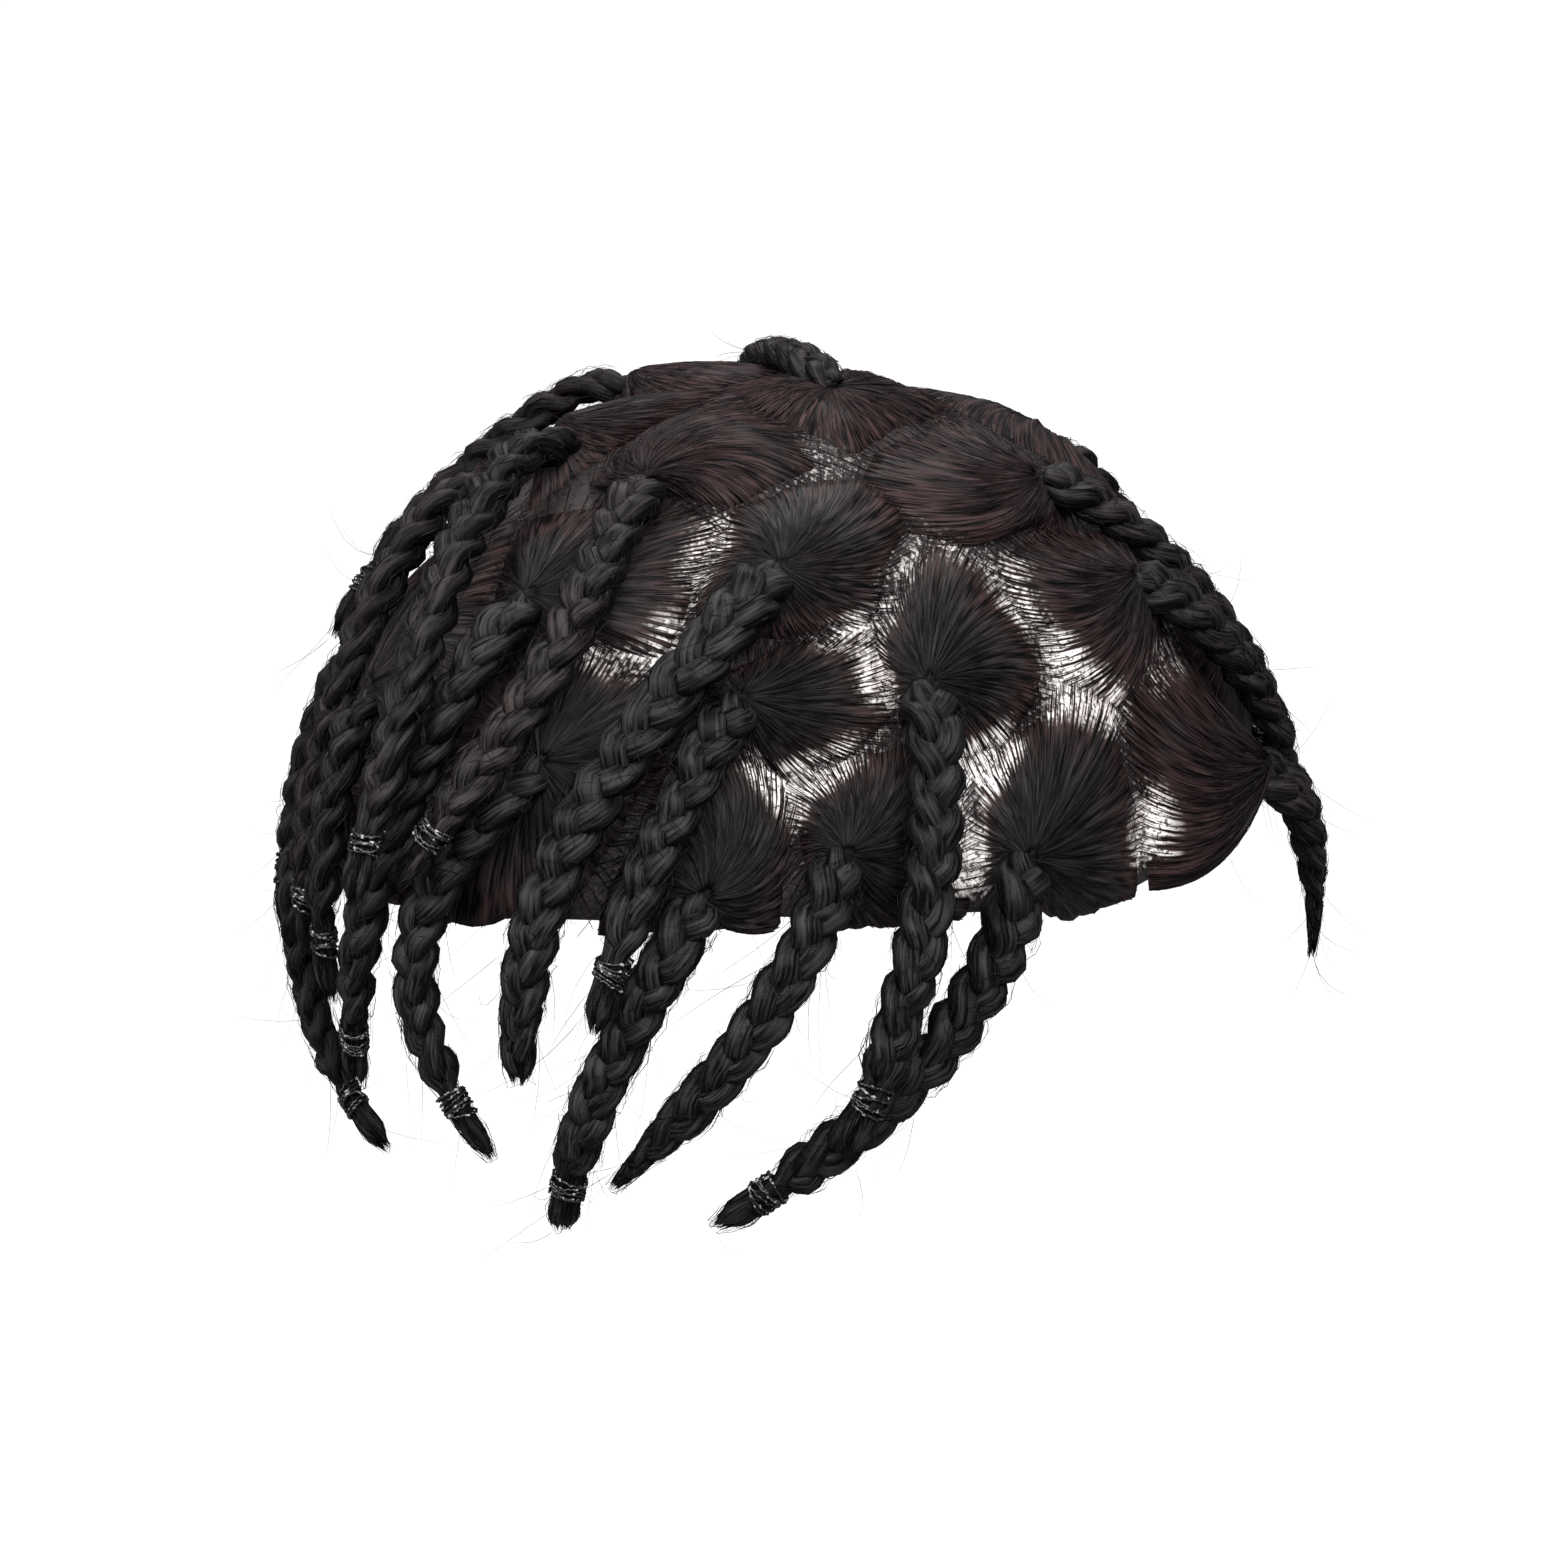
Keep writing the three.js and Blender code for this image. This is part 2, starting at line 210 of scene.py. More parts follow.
# The elastic ties
NECK_SHARE = 0.5
NECK_HALF_LENGTH = 2.6 * MM
NECK_GATHER_LENGTH = 5 * MM
BRAID_FLATNESS = 0.7
TIE_CLEARANCE = 0.0
TIE_HALF_LENGTH = 2.3 * MM
TIE_TURNS = 7
TIE_CORD = 0.3 * MM
TIE_TILT = 0.8 * MM
TIE_CRINKLE = 0.16 * MM
TIE_CRINKLES = ((9, 0.5), (14, 0.5), (22, 0.4))
TIE_STEPS_ROUND = 40
TIE_SIDES = 4

# Single loose hairs
FLYAWAY_HAIRS = 500
FLYAWAY_SEED = 11
FLYAWAY_STEPS = 6
FLYAWAY_LENGTH = (5 * MM, 26 * MM)
FLYAWAY_BEND = 7 * MM
FLYAWAY_DROOP = 3 * MM
FLYAWAY_CURL = 0.2
FLYAWAY_START = 0.8
FLYAWAY_ASIDE = (0.1, 0.9)
FLYAWAY_OUT = (0, 0.3)
FLYAWAY_TIP = 0.5
FLYAWAY_THICKNESS = (0.06 * MM, 0.14 * MM)
FLYAWAY_REACH = 5 * MM
# One part in this many of a braid, from its root, has no loose hairs
FLYAWAY_CLEAR_PART = 6
# Slightly aslant, so that it is never quite in line with a hair
FLYAWAY_UP = UP + 0.01

# One row per lock, as the part's source has it: its name; the middle of its section, where its braid starts
# and where its hair ends, each as (azimuth, polar), with a polar angle below zero on the other side of the
# crown; the braid's sideways bow in degrees of azimuth; how much higher than most it lies at the root and at
# the end, and its width at the root, in millimetres; whether it ends in a tie, a wisp or a blunt wisp; and
# how warm its brown is, from none to full
Lock = namedtuple("Lock", "name section root tip sway lift width end warmth")
LOCKS = [
    Lock("crown_1", (199, 23), (199.5, 33.5), (185.5, 80), 7, (0, 7.8), 11, "tie", 0.8),
    Lock("crown_2", (255, 8), (72, -10), (58, 50), 0, (-4.2, 0.6), 8.5, "tie", 0.7),
    Lock("crown_3", (150, 22), (165, 29.5), (180, 83), 7.5, (2, 9), 11, "tie", 0.5),
    Lock("crown_4", (95, 19), (106, 24), (127, 66), 0, (0.8, 5), 10, "tie", 0.9),
    Lock("upper_1", (229, 43), (227, 44), (198, 100), -7, (0, 0), 12, "blunt", 0.15),
    Lock("upper_2", (199, 42), (189.5, 49.5), (167.5, 106), 0, (0, 0), 10.5, "tie", 0.2),
    Lock("upper_3", (133, 36), (150, 38.5), (155, 94), 5, (0.5, -0.5), 11, "tie", 0.9),
    Lock("upper_4", (88, 35), (88, 43), (104, 96), 0, (0, 0), 11, "tie", 0.4),
    Lock("upper_5", (32, 35), (22, 43), (20, 94), 0, (0, 0), 11, "tie", 0.4),
    Lock("upper_6", (338, 34), (357, 42), (357, 90), 0, (-2, 2.5), 10, "tie", 0.5),
    Lock("upper_7", (283, 31), (289, 35), (313, 73), 3, (-2.2, -0.5), 10, "wisp", 0.7),
    Lock("middle_1", (255, 55), (247, 58), (235, 106), 2.5, (0, 6.5), 11.5, "tie", 0.1),
    Lock("middle_2", (232, 58), (223, 58.5), (209, 92.5), -1.5, (0, 5.6), 10.5, "tie", 0.1),
    Lock("middle_3", (201, 65), (199, 66), (192, 110), -11, (0, 0), 10.5, "tie", 0.1),
    Lock("middle_4", (160, 58), (165.5, 63), (164.5, 97), 0, (0, 0), 10, "tie", 0.2),
    Lock("middle_5", (120, 57), (126, 64), (138, 96), 0, (0, 4), 11, "tie", 0.5),
    Lock("middle_6", (82, 57), (79, 64), (81, 98), 0, (0, 0), 11, "tie", 0.3),
    Lock("middle_7", (46, 56), (50, 63), (52, 98), 0, (0, 0), 11, "tie", 0.4),
    Lock("middle_8", (8, 55), (6, 62), (6, 98), 0, (0, 0), 11, "tie", 0.3),
    Lock("middle_9", (323, 64), (329, 66), (334, 87), 0, (0, 0), 10, "tie", 0.4),
    Lock("middle_10", (283, 50), (290, 51), (317, 88), 2.4, (0, 2), 11, "wisp", 0.45),
    Lock("rim_1", (291, 74), (302, 77), (311, 101), 4, (3, 8), 11, "wisp", 0.6),
    Lock("rim_2", (267, 73), (257, 78), (220, 117), 6.5, (0, 0), 12, "tie", 0.1),
    Lock("rim_3", (239, 72), (235.5, 75), (208, 112), 3.5, (0, 0), 11, "wisp", 0.05),
    Lock("rim_4", (221, 73), (220, 79), (199, 119), -1, (0, 0), 11, "tie", 0.05),
    Lock("rim_5", (152, 78), (148, 82), (169, 114), -9, (0, 0), 10.5, "tie", 0.2),
    Lock("rim_6", (122, 78), (117, 82), (116, 104), 0, (0, 0), 11, "tie", 0.3),
    Lock("rim_7", (92, 77), (90, 82), (91, 106), 0, (0, 0), 11, "tie", 0.2),
    Lock("rim_8", (60, 77), (63, 82), (64, 106), 0, (0, 0), 11, "tie", 0.3),
    Lock("rim_9", (30, 77), (32, 82), (32, 106), 0, (0, 0), 11, "tie", 0.3),
    Lock("rim_10", (350, 77), (346, 80), (346, 97), 0, (0, 0), 11, "tie", 0.3),
]

# The view
PHOTO_SIDE = 1562
VIEW_AZIMUTH = 225
VIEW_ELEVATION = 15
VIEW_DISTANCE = 1.1
PIXELS_PER_METRE = 5100
DOME_MIDDLE_PIXEL = (800, 858)
SENSOR_WIDTH = 36
NEAREST_SEEN = 0.01
FURTHEST_SEEN = 50

# The studio: the light from all round, then each lamp's name, azimuth, elevation, distance, size and power
WORLD_LIGHT = 0.22
LIGHTS = (("key", 240, 40, 1.6, 1.2, 44), ("side", 165, 30, 1.5, 0.9, 26), ("back", 40, 62, 1.5, 0.8, 16))
FLOOR_HEIGHT = -0.8
FLOOR_REACH = 6.0

# Colours
WHITE = (1, 1, 1, 1)
FLOOR_SHADE = (0.22, 0.22, 0.22, 1)
FLOOR_PALE = (0.26, 0.26, 0.26, 1)
HAIR_DARK = (0.0006, 0.0006, 0.0006, 1)
HAIR_LIGHT = (0.026, 0.0252, 0.0252, 1)
HAIR_WARM = (1.7, 0.98, 1.04, 1)
LACE_PINK = (0.8, 0.7, 0.66, 1)
LACE_PALE = (0.92, 0.88, 0.86, 1)
LACE_THREAD = (0.95, 0.93, 0.92, 1)
LACE_KNOTS = (0.003, 0.0025, 0.0025, 1)
LACE_NET = (0.022, 0.015, 0.014, 1)
# Dark brown for the lace's knots, and for painted shade on the lace under the hair of a section
LACE_KNOT_AND_SHADE = (0.04, 0.024, 0.023, 1)
ELASTIC_DARK = (0.003, 0.003, 0.003, 1)
ELASTIC_LIGHT = (0.013, 0.013, 0.014, 1)
# Pale specks on the elastic are painted glints, standing in for its sparkling highlights
ELASTIC_GLINT = (0.34, 0.34, 0.35, 1)

# How much detail a pattern of noise has
SMOOTH = 0.0
COARSE = 1.0
FINE = 2.0
FINEST = 3.0

# How the finishes are drawn: a grain is in cells per metre, and a spread is the range that a pattern is read
# from, and the range that it is read to where that isn't from 0 to 1
HAIR_SHINE = 0.1
HAIR_RELIEF = 0.4 * MM
HAIR_RELIEF_STRENGTH = 0.8
HAIR_ROUGHNESS_SPREAD = (0.3, 0.7, 0.42, 0.62)
BRAID_WARMTH = 0.35
# Fibres across and breaks along, how dark the painted shade makes the sides and backs of strands where they
# meet, and how much browner the edge is
PLAITED_STREAKS = (34.0, 4.5, 0.8, 0.0)
COMBED_STREAKS = (220.0, 2.8, 0.0, 0.9)
STREAK_SPREAD = (0.43, 0.62)
CLUMPS_PER_FIBRE = 0.3
CLUMP_SHARE = 0.5
CLUMP_LAYER = 3.0
GAPS_PER_FIBRE = 0.5
GAPS_PER_BREAK = 0.6
GAP_LAYER = 7.0
GAP_SPREAD = (0.3, 0.7, 0.2, 0.8)
ROW_DEPTH = 0.3
# How the painted shade falls from a strand's outer face round to its sides and back
PAINTED_SHADE_SPREAD = (0.1, 0.95)
WARM_GRAIN = 55.0
WARM_SPREAD = (0.35, 0.65, 0.3, 1.7)
WARM_EDGE_SPREAD = (0.5, 1.0)
# Where the hair of a section thins out towards its outline, and by how much as the base is barer
THIN_SPREAD = (0.62, 1.0)
THIN_BARE_SPREAD = (0.1, 1.1, 0.3, 0.95)
THIN_BELOW = 0.2
THIN_ABOVE = 0.15
THIN_START_SPREAD = (0.0, 0.2)
# How the lace seen between the hairs goes from dark brown under thicker hair, partly its tint and partly
# painted shade, to its own colour
THIN_LACE_SPREAD = (0.3, 0.65)
BARE_START_SPREAD = (0.0, 0.1)
LACE_MESH = 1700.0
LACE_THREAD_SPREAD = (0.02, 0.16, 1.0, 0.0)
LACE_TONE_GRAIN = 120.0
LACE_TONE_SPREAD = (0.35, 0.65)
LACE_ROUGHNESS_SPREAD = (0.3, 0.7, 0.6, 0.8)
LACE_RELIEF = 0.15 * MM
LACE_RELIEF_STRENGTH = 0.7
LACE_RIM_SPREAD = (0.965, 0.99, 1.0, 0.0)
LACE_PATCH_GRAIN = 75.0
LACE_PATCH_SPREAD = (0.38, 0.54, 0.42, 1.1)
LACE_COVER_GRAIN = 1000.0
LACE_COVER_SPREAD = (0.35, 0.65, 0.0, 0.5)
LACE_COVER_SOFTNESS = 0.65
KNOT_GRAIN = 1100.0
KNOT_SPREAD = (0.56, 0.66, 0.0, 0.85)
KNOTTED_GRAIN = 900.0
KNOTTED_SPREAD = (0.4, 0.6)
ELASTIC_SHINE = 0.5
ELASTIC_RELIEF = 0.4 * MM
ELASTIC_RELIEF_STRENGTH = 0.8
ELASTIC_RIB_GRAIN = 1400.0
ELASTIC_RIB_SPREAD = (0.35, 0.7)
ELASTIC_TONE_GRAIN = 500.0
ELASTIC_ROUGHNESS_SPREAD = (0.3, 0.7, 0.08, 0.3)
# The grain and spread of the painted glints on the elastic
ELASTIC_GLINT_GRAIN = 1100.0
ELASTIC_GLINT_SPREAD = (0.65, 0.76)
FLOOR_GRAIN = 3.0
FLOOR_ROUGHNESS = 0.9


# Shapes on the dome

def unit(vectors):
    return vectors / np.linalg.norm(vectors, axis=-1, keepdims=True)


def direction(azimuth, polar):
    """Direction from the middle of the dome: azimuth from the front to the left, polar from the crown."""
    turned = np.radians(np.asarray(azimuth, float))
    down = np.radians(np.asarray(polar, float))
    return np.stack([np.sin(down) * np.sin(turned), -np.sin(down) * np.cos(turned), np.cos(down)], -1)


def on_dome(towards, height):
    """Points at a height above the inside of the base."""
    facing = np.clip(towards @ direction(*BACK_OF_CROWN), 0, None)
    grown = height + BACK_FULLNESS * facing ** BACK_TIGHTNESS
    return np.stack([
        towards[..., 0] * (DOME_HALF_BREADTH + grown),
        towards[..., 1] * (DOME_HALF_LENGTH + grown),
        towards[..., 2] * (CROWN_HEIGHT + grown) - CROWN_HEIGHT,
    ], -1)


def outward(towards):
    return unit(towards / np.array([DOME_HALF_BREADTH, DOME_HALF_LENGTH, CROWN_HEIGHT]))


def smooth(x, low, high):
    share = np.clip((x - low) / (high - low), 0, 1)
    return share * share * (3 - 2 * share)


def blend(a, b, share):
    return a + (b - a) * share


def turns(count):
    """Even angles round a circle."""
    return np.arange(count) * TURN / count


def at_steps(values, step):
    """Values along a line at fractional steps."""
    low = np.clip(np.floor(step).astype(int), 0, len(values) - 2)
    return blend(values[low], values[low + 1], (step - low)[..., None])


def rim_polar(azimuth):
    """Polar angle of the rim, which rises a little at the back on the right."""
    away = np.abs(azimuth - RIM_RISE_AZIMUTH)
    return RIM_POLAR - RIM_RISE * (1 - smooth(away, *RIM_RISE_REACH))


def rim_height(towards, above):
    """The upward share of a direction that meets the rim, or a band above it, at the same azimuth."""
    azimuth = np.degrees(np.arctan2(towards[..., 0], -towards[..., 1])) % 360
    return np.cos(np.radians(rim_polar(azimuth) - above))


def bareness_and_light(towards):
    """How bare the partings show: most at some places on one side, the side the key lamp lights, least where
    hair covers them; the lace is painted pale by it, partly as painted light.
    """
    bare = np.full(towards.shape[:-1], LEAST_BARE)
    for place, most in BARE_AND_LIT_PLACES:
        away = np.arccos(np.clip(towards @ direction(*place), -1, 1)) * DOME_RADIUS
        bare = np.maximum(bare, most * (1 - smooth(away, *BARE_REACH)))
    return bare


# Meshes gathered from arrays

class Heap:
    """Closed shapes gathered into one mesh, with a combing map across and along the fibres and a measure of
    how bare the lace is, which also carries painted light and shade on the lace.
    """

    def __init__(self):
        self.points = []
        self.corners = []
        self.counts = []
        self.combing = []
        self.bareness_and_light = []
        self.size = 0

    def add(self, points, *sheets, bare=0.0):
        """Points, and sheets of faces between them, each with the combing map of its corners."""
        for faces, combing in sheets:
            self.corners.append((faces + self.size).reshape(-1))
            self.counts.append(np.full(len(faces), faces.shape[1]))
            self.combing.append(combing.reshape(-1, 2))
        self.points.append(points)
        self.bareness_and_light.append(np.broadcast_to(bare, len(points)))
        self.size += len(points)

    def add_tube(self, rings, across, along, bare=0.0):
        """A tube through rings of points, with a point at each end."""
        rows, sides, _ = rings.shape
        ends = np.stack([rings[0].mean(0), rings[-1].mean(0)])
        row, side = np.mgrid[0:rows - 1, 0:sides]
        after = (side + 1) % sides
        quads = np.stack([row * sides + side, row * sides + after,
                          (row + 1) * sides + after, (row + 1) * sides + side], -1)
        u = np.stack([side, side + 1, side + 1, side], -1) * (across / sides)
        v = along[np.stack([row, row, row + 1, row + 1], -1)]
        turn = np.arange(sides)
        last = (rows - 1) * sides
        first_fan = np.stack([np.full(sides, rows * sides), (turn + 1) % sides, turn], -1)
        last_fan = np.stack([np.full(sides, rows * sides + 1), last + turn, last + (turn + 1) % sides], -1)
        fan_u = np.stack([turn + 0.5, turn, turn + 1], -1) * (across / sides)
        self.add(np.concatenate([rings.reshape(-1, 3), ends]),
                 (quads.reshape(-1, 4), np.stack([u, v], -1)),
                 (first_fan, np.stack([fan_u, np.full_like(fan_u, along[0])], -1)),
                 (last_fan, np.stack([fan_u, np.full_like(fan_u, along[-1])], -1)), bare=bare)

    def add_fibres(self, paths, out, thickness, across, along):
        """Thin hairs along paths, pointed at both ends and thick at the points between."""
        count, steps, _ = paths.shape
        rows = steps - 2
        ahead = unit(np.gradient(paths, axis=1))
        upward = unit(out - ahead * (out * ahead).sum(-1, keepdims=True))
        aside = np.cross(ahead, upward)
        angle = turns(HAIR_SIDES)
        ring = upward[:, 1:-1, None] * np.cos(angle)[:, None] + aside[:, 1:-1, None] * np.sin(angle)[:, None]
        rings = paths[:, 1:-1, None] + ring * thickness[..., None, None] / 2
        rings = rings.reshape(count, rows * HAIR_SIDES, 3)
        points = np.concatenate([paths[:, :1], rings, paths[:, -1:]], axis=1)
        side = np.arange(HAIR_SIDES)
        after = (side + 1) % HAIR_SIDES
        row = np.arange(rows - 1)[:, None] * HAIR_SIDES + 1
        quads = np.stack([row + side, row + after, row + HAIR_SIDES + after, row + HAIR_SIDES + side], -1)
        last = (rows - 1) * HAIR_SIDES + 1
        root = np.stack([np.zeros_like(side), 1 + after, 1 + side], -1)
        tip = np.stack([last + side, last + after, np.full_like(side, rows * HAIR_SIDES + 1)], -1)
        hair = np.arange(count)[:, None, None] * points.shape[1]
        quads = (hair + quads.reshape(1, -1, 4)).reshape(-1, 4)
        ends = (hair + np.concatenate([root, tip])).reshape(-1, 3)
        between = np.repeat(along[:, 1:-1], HAIR_SIDES, axis=1)
        v = np.concatenate([along[:, :1], between, along[:, -1:]], axis=1)
        combing = np.stack([np.broadcast_to(across[:, None], v.shape), v], -1).reshape(-1, 2)
        self.add(points.reshape(-1, 3), (quads, combing[quads]), (ends, combing[ends]))

    def piece(self, name, material, slot, nodes, warmth):
        """The mesh as a piece of the toupee that stands for some of the plain solids."""
        mesh = bpy.data.meshes.new(name)
        points = np.concatenate(self.points)
        corners = np.concatenate(self.corners)
        counts = np.concatenate(self.counts)
        mesh.vertices.add(len(points))
        mesh.vertices.foreach_set("co", points.astype(np.float32).reshape(-1))
        mesh.loops.add(len(corners))
        mesh.loops.foreach_set("vertex_index", corners.astype(np.int32))
        mesh.polygons.add(len(counts))
        mesh.polygons.foreach_set("loop_start", (np.cumsum(counts) - counts).astype(np.int32))
        mesh.update(calc_edges=True)
        mesh.polygons.foreach_set("use_smooth", np.ones(len(counts), bool))
        layer = mesh.uv_layers.new(name="Combing")
        layer.uv.foreach_set("vector", np.concatenate(self.combing).astype(np.float32).reshape(-1))
        painted = {"warmth": np.full(len(points), warmth), "bareness_and_light": np.concatenate(self.bareness_and_light)}
        for kind, values in painted.items():
            layer = mesh.attributes.new(kind, "FLOAT", "POINT")
            layer.data.foreach_set("value", values.astype(np.float32))
        mesh.materials.append(material)
        mesh.validate()
        piece = bpy.data.objects.new(name, mesh)
        bpy.context.scene.collection.objects.link(piece)
        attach(piece, "root")
        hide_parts(*nodes)


# Sections of combed hair

def step_from(middle, bearing, distance):
    """Directions reached by steps from a section's middle; bearing 0 points down the dome."""
    across = unit(np.cross(UP, middle))
    down = np.cross(across, middle)
    heading = np.cos(bearing)[..., None] * down + np.sin(bearing)[..., None] * across
    turn = (distance / DOME_RADIUS)[..., None]
    return np.cos(turn) * middle + np.sin(turn) * heading


def section_reach(lock, bearing, parting):
    """How far a section reaches along each bearing, to partings of some width or to the rim."""
    middle = direction(*lock.section)
    others = np.array([direction(*other.section) for other in LOCKS if other is not lock])
    inside = np.zeros_like(bearing)
    outside = np.full_like(bearing, DOME_RADIUS)
    for _ in range(REACH_HALVINGS):
        distance = (inside + outside) / 2
        point = step_from(middle, bearing, distance)
        nearest = np.arccos(np.clip(point @ others.T, -1, 1)).min(-1) * DOME_RADIUS
        lowest = rim_height(point, 0) - RIM_OVERHANG / DOME_RADIUS
        free = (nearest > distance + parting) & (point[..., 2] > lowest)
        inside = np.where(free, distance, inside)
        outside = np.where(free, outside, distance)
    return inside


def waves(bearing, ridges, rng):
    return sum(size * np.sin(count * bearing + rng.uniform(0, TURN)) for count, size in ridges)


class Section:
    """The form of one combed section: a mound that rises from its ragged outline to the braid's root."""

    def __init__(self, lock, rng):
        self.root = direction(*lock.root)
        self.lift = lock.lift[0] * MM
        bearing = turns(SECTION_BEARINGS)
        reach = section_reach(lock, bearing, PARTING_WIDTH) + SECTION_OVERLAP
        ragged = SECTION_RAGGEDNESS * rng.normal(size=SECTION_BEARINGS)
        reach = reach * (1 + ragged + waves(bearing, SECTION_WAVES, rng))
        self.outline = step_from(direction(*lock.section), bearing, reach)
        self.beyond = section_reach(lock, bearing, 0) - reach
        self.ridge = waves(bearing, COMB_RIDGES, rng)
        self.swirl = rng.uniform(-SECTION_SWIRL, SECTION_SWIRL)

    def edges(self, place):
        """Directions, ridges and half the parting at places round the outline, each from 0 to 1."""
        step = place * SECTION_BEARINGS
        before = np.floor(step).astype(int) % SECTION_BEARINGS
        after = (before + 1) % SECTION_BEARINGS
        part = step - np.floor(step)
        edge = blend(self.outline[before], self.outline[after], part[:, None])
        ridge = blend(self.ridge[before], self.ridge[after], part)
        return edge, ridge, blend(self.beyond[before], self.beyond[after], part)

    def towards(self, edge, share):
        """Directions on the way from the braid's root to the outline, in a slight swirl."""
        share = share[..., None]
        aside = np.cross(self.root, edge) * self.swirl * share * (1 - share)
        return unit(blend(self.root, edge, share) + aside)

    def height(self, ridge, share):
        inside = np.clip(1 - share, 0, 1)
        peak = SECTION_PEAK - SECTION_EDGE + self.lift * inside
        combed = 1 + ridge * np.sqrt(np.clip(np.sin(np.pi * np.clip(share, 0, 1)), 0, 1))
        return SECTION_EDGE + peak * inside ** SECTION_ROUNDING * combed


def add_mound(heap, section):
    share = np.linspace(1, SECTION_TOP_SHARE, SECTION_RINGS)
    round_the_root = np.ones(SECTION_BEARINGS)
    top = section.towards(section.outline, share[:, None] * round_the_root)
    rings = on_dome(top, section.height(section.ridge, share[:, None] * round_the_root))
    floor = section.towards(section.outline, SECTION_FLOOR_SHARES[:, None] * round_the_root)
    rings = np.concatenate([on_dome(floor, SECTION_FLOOR), rings])
    bare = np.where(top[..., 2] > rim_height(top, FRINGE_BAND), bareness_and_light(top), 0.0)
    under = np.zeros(SECTION_FLOOR_SHARES.size * SECTION_BEARINGS)
    bare = np.concatenate([under, bare.reshape(-1), [0.0, 0.0]])
    heap.add_tube(rings, 1.0, np.concatenate([SECTION_FLOOR_SHARES, share]), bare)


def add_section_hairs(heap, section, edge, ridge, start, end, steps, thickness, rng):
    """Hairs that lie on a section, from a share of the way out to a share of the way in."""
    count = len(edge)
    share = blend(start[:, None], end[:, None], steps)
    towards = section.towards(edge[:, None], share)
    lifted = rng.uniform(*COMBED_LIFT, count)[:, None] * np.minimum(1, steps / steps[1])
    paths = on_dome(towards, section.height(ridge[:, None], share) + lifted)
    heap.add_fibres(paths, outward(towards), thickness, rng.uniform(0, 1, count), share)


def add_combed_hairs(heap, section, rng):
    """Hairs that run up a section to the root of its braid."""
    count = COMBED_HAIRS
    edge, ridge, _ = section.edges((np.arange(count) + rng.uniform(0, 1, count)) / count)
    start = blend(*COMBED_START, rng.uniform(0, 1, count))
    end = np.clip(start - rng.uniform(*COMBED_RUN, count), COMBED_END, None)
    thickness = rng.uniform(*COMBED_THICKNESS, count)[:, None] * COMBED_TAPER
    add_section_hairs(heap, section, edge, ridge, start, end, COMBED_STEPS, thickness, rng)


def add_fringe(heap, section, fringe, rng):
    """Hairs that start on the base in a parting, or at the rim, and lie up on to the section."""
    count = fringe.count
    place = np.arange(count) + 0.5 + FRINGE_SCATTER * rng.uniform(-1, 1, count)
    edge, ridge, beyond = section.edges(place / count)
    kept = bareness_and_light(edge) >= fringe.least_bare
    edge = edge[kept]
    ridge = ridge[kept]
    count = len(edge)
    bare = np.minimum(bareness_and_light(edge), 1)
    at_rim = edge[:, 2] < rim_height(edge, FRINGE_BAND)
    run = np.arccos(np.clip(edge @ section.root, -1, 1)) * DOME_RADIUS
    span = blend(np.array(fringe.covered), np.array(fringe.bare), bare[:, None])
    span = np.where(at_rim[:, None], np.array(fringe.rim), span)
    reach = blend(span[:, 0], span[:, 1], rng.uniform(0, 1, count))
    furthest = beyond[kept] + blend(*CROSSING, bare)
    start = 1 + np.where(at_rim, reach, np.minimum(reach, furthest)) / run
    end = np.clip(1 - rng.uniform(*fringe.run, count) / run, FRINGE_END, None)
    thickness = rng.uniform(*fringe.thickness, count)[:, None] * FRINGE_TAPER
    add_section_hairs(heap, section, edge, ridge, start, end, FRINGE_STEPS, thickness, rng)


# Braids

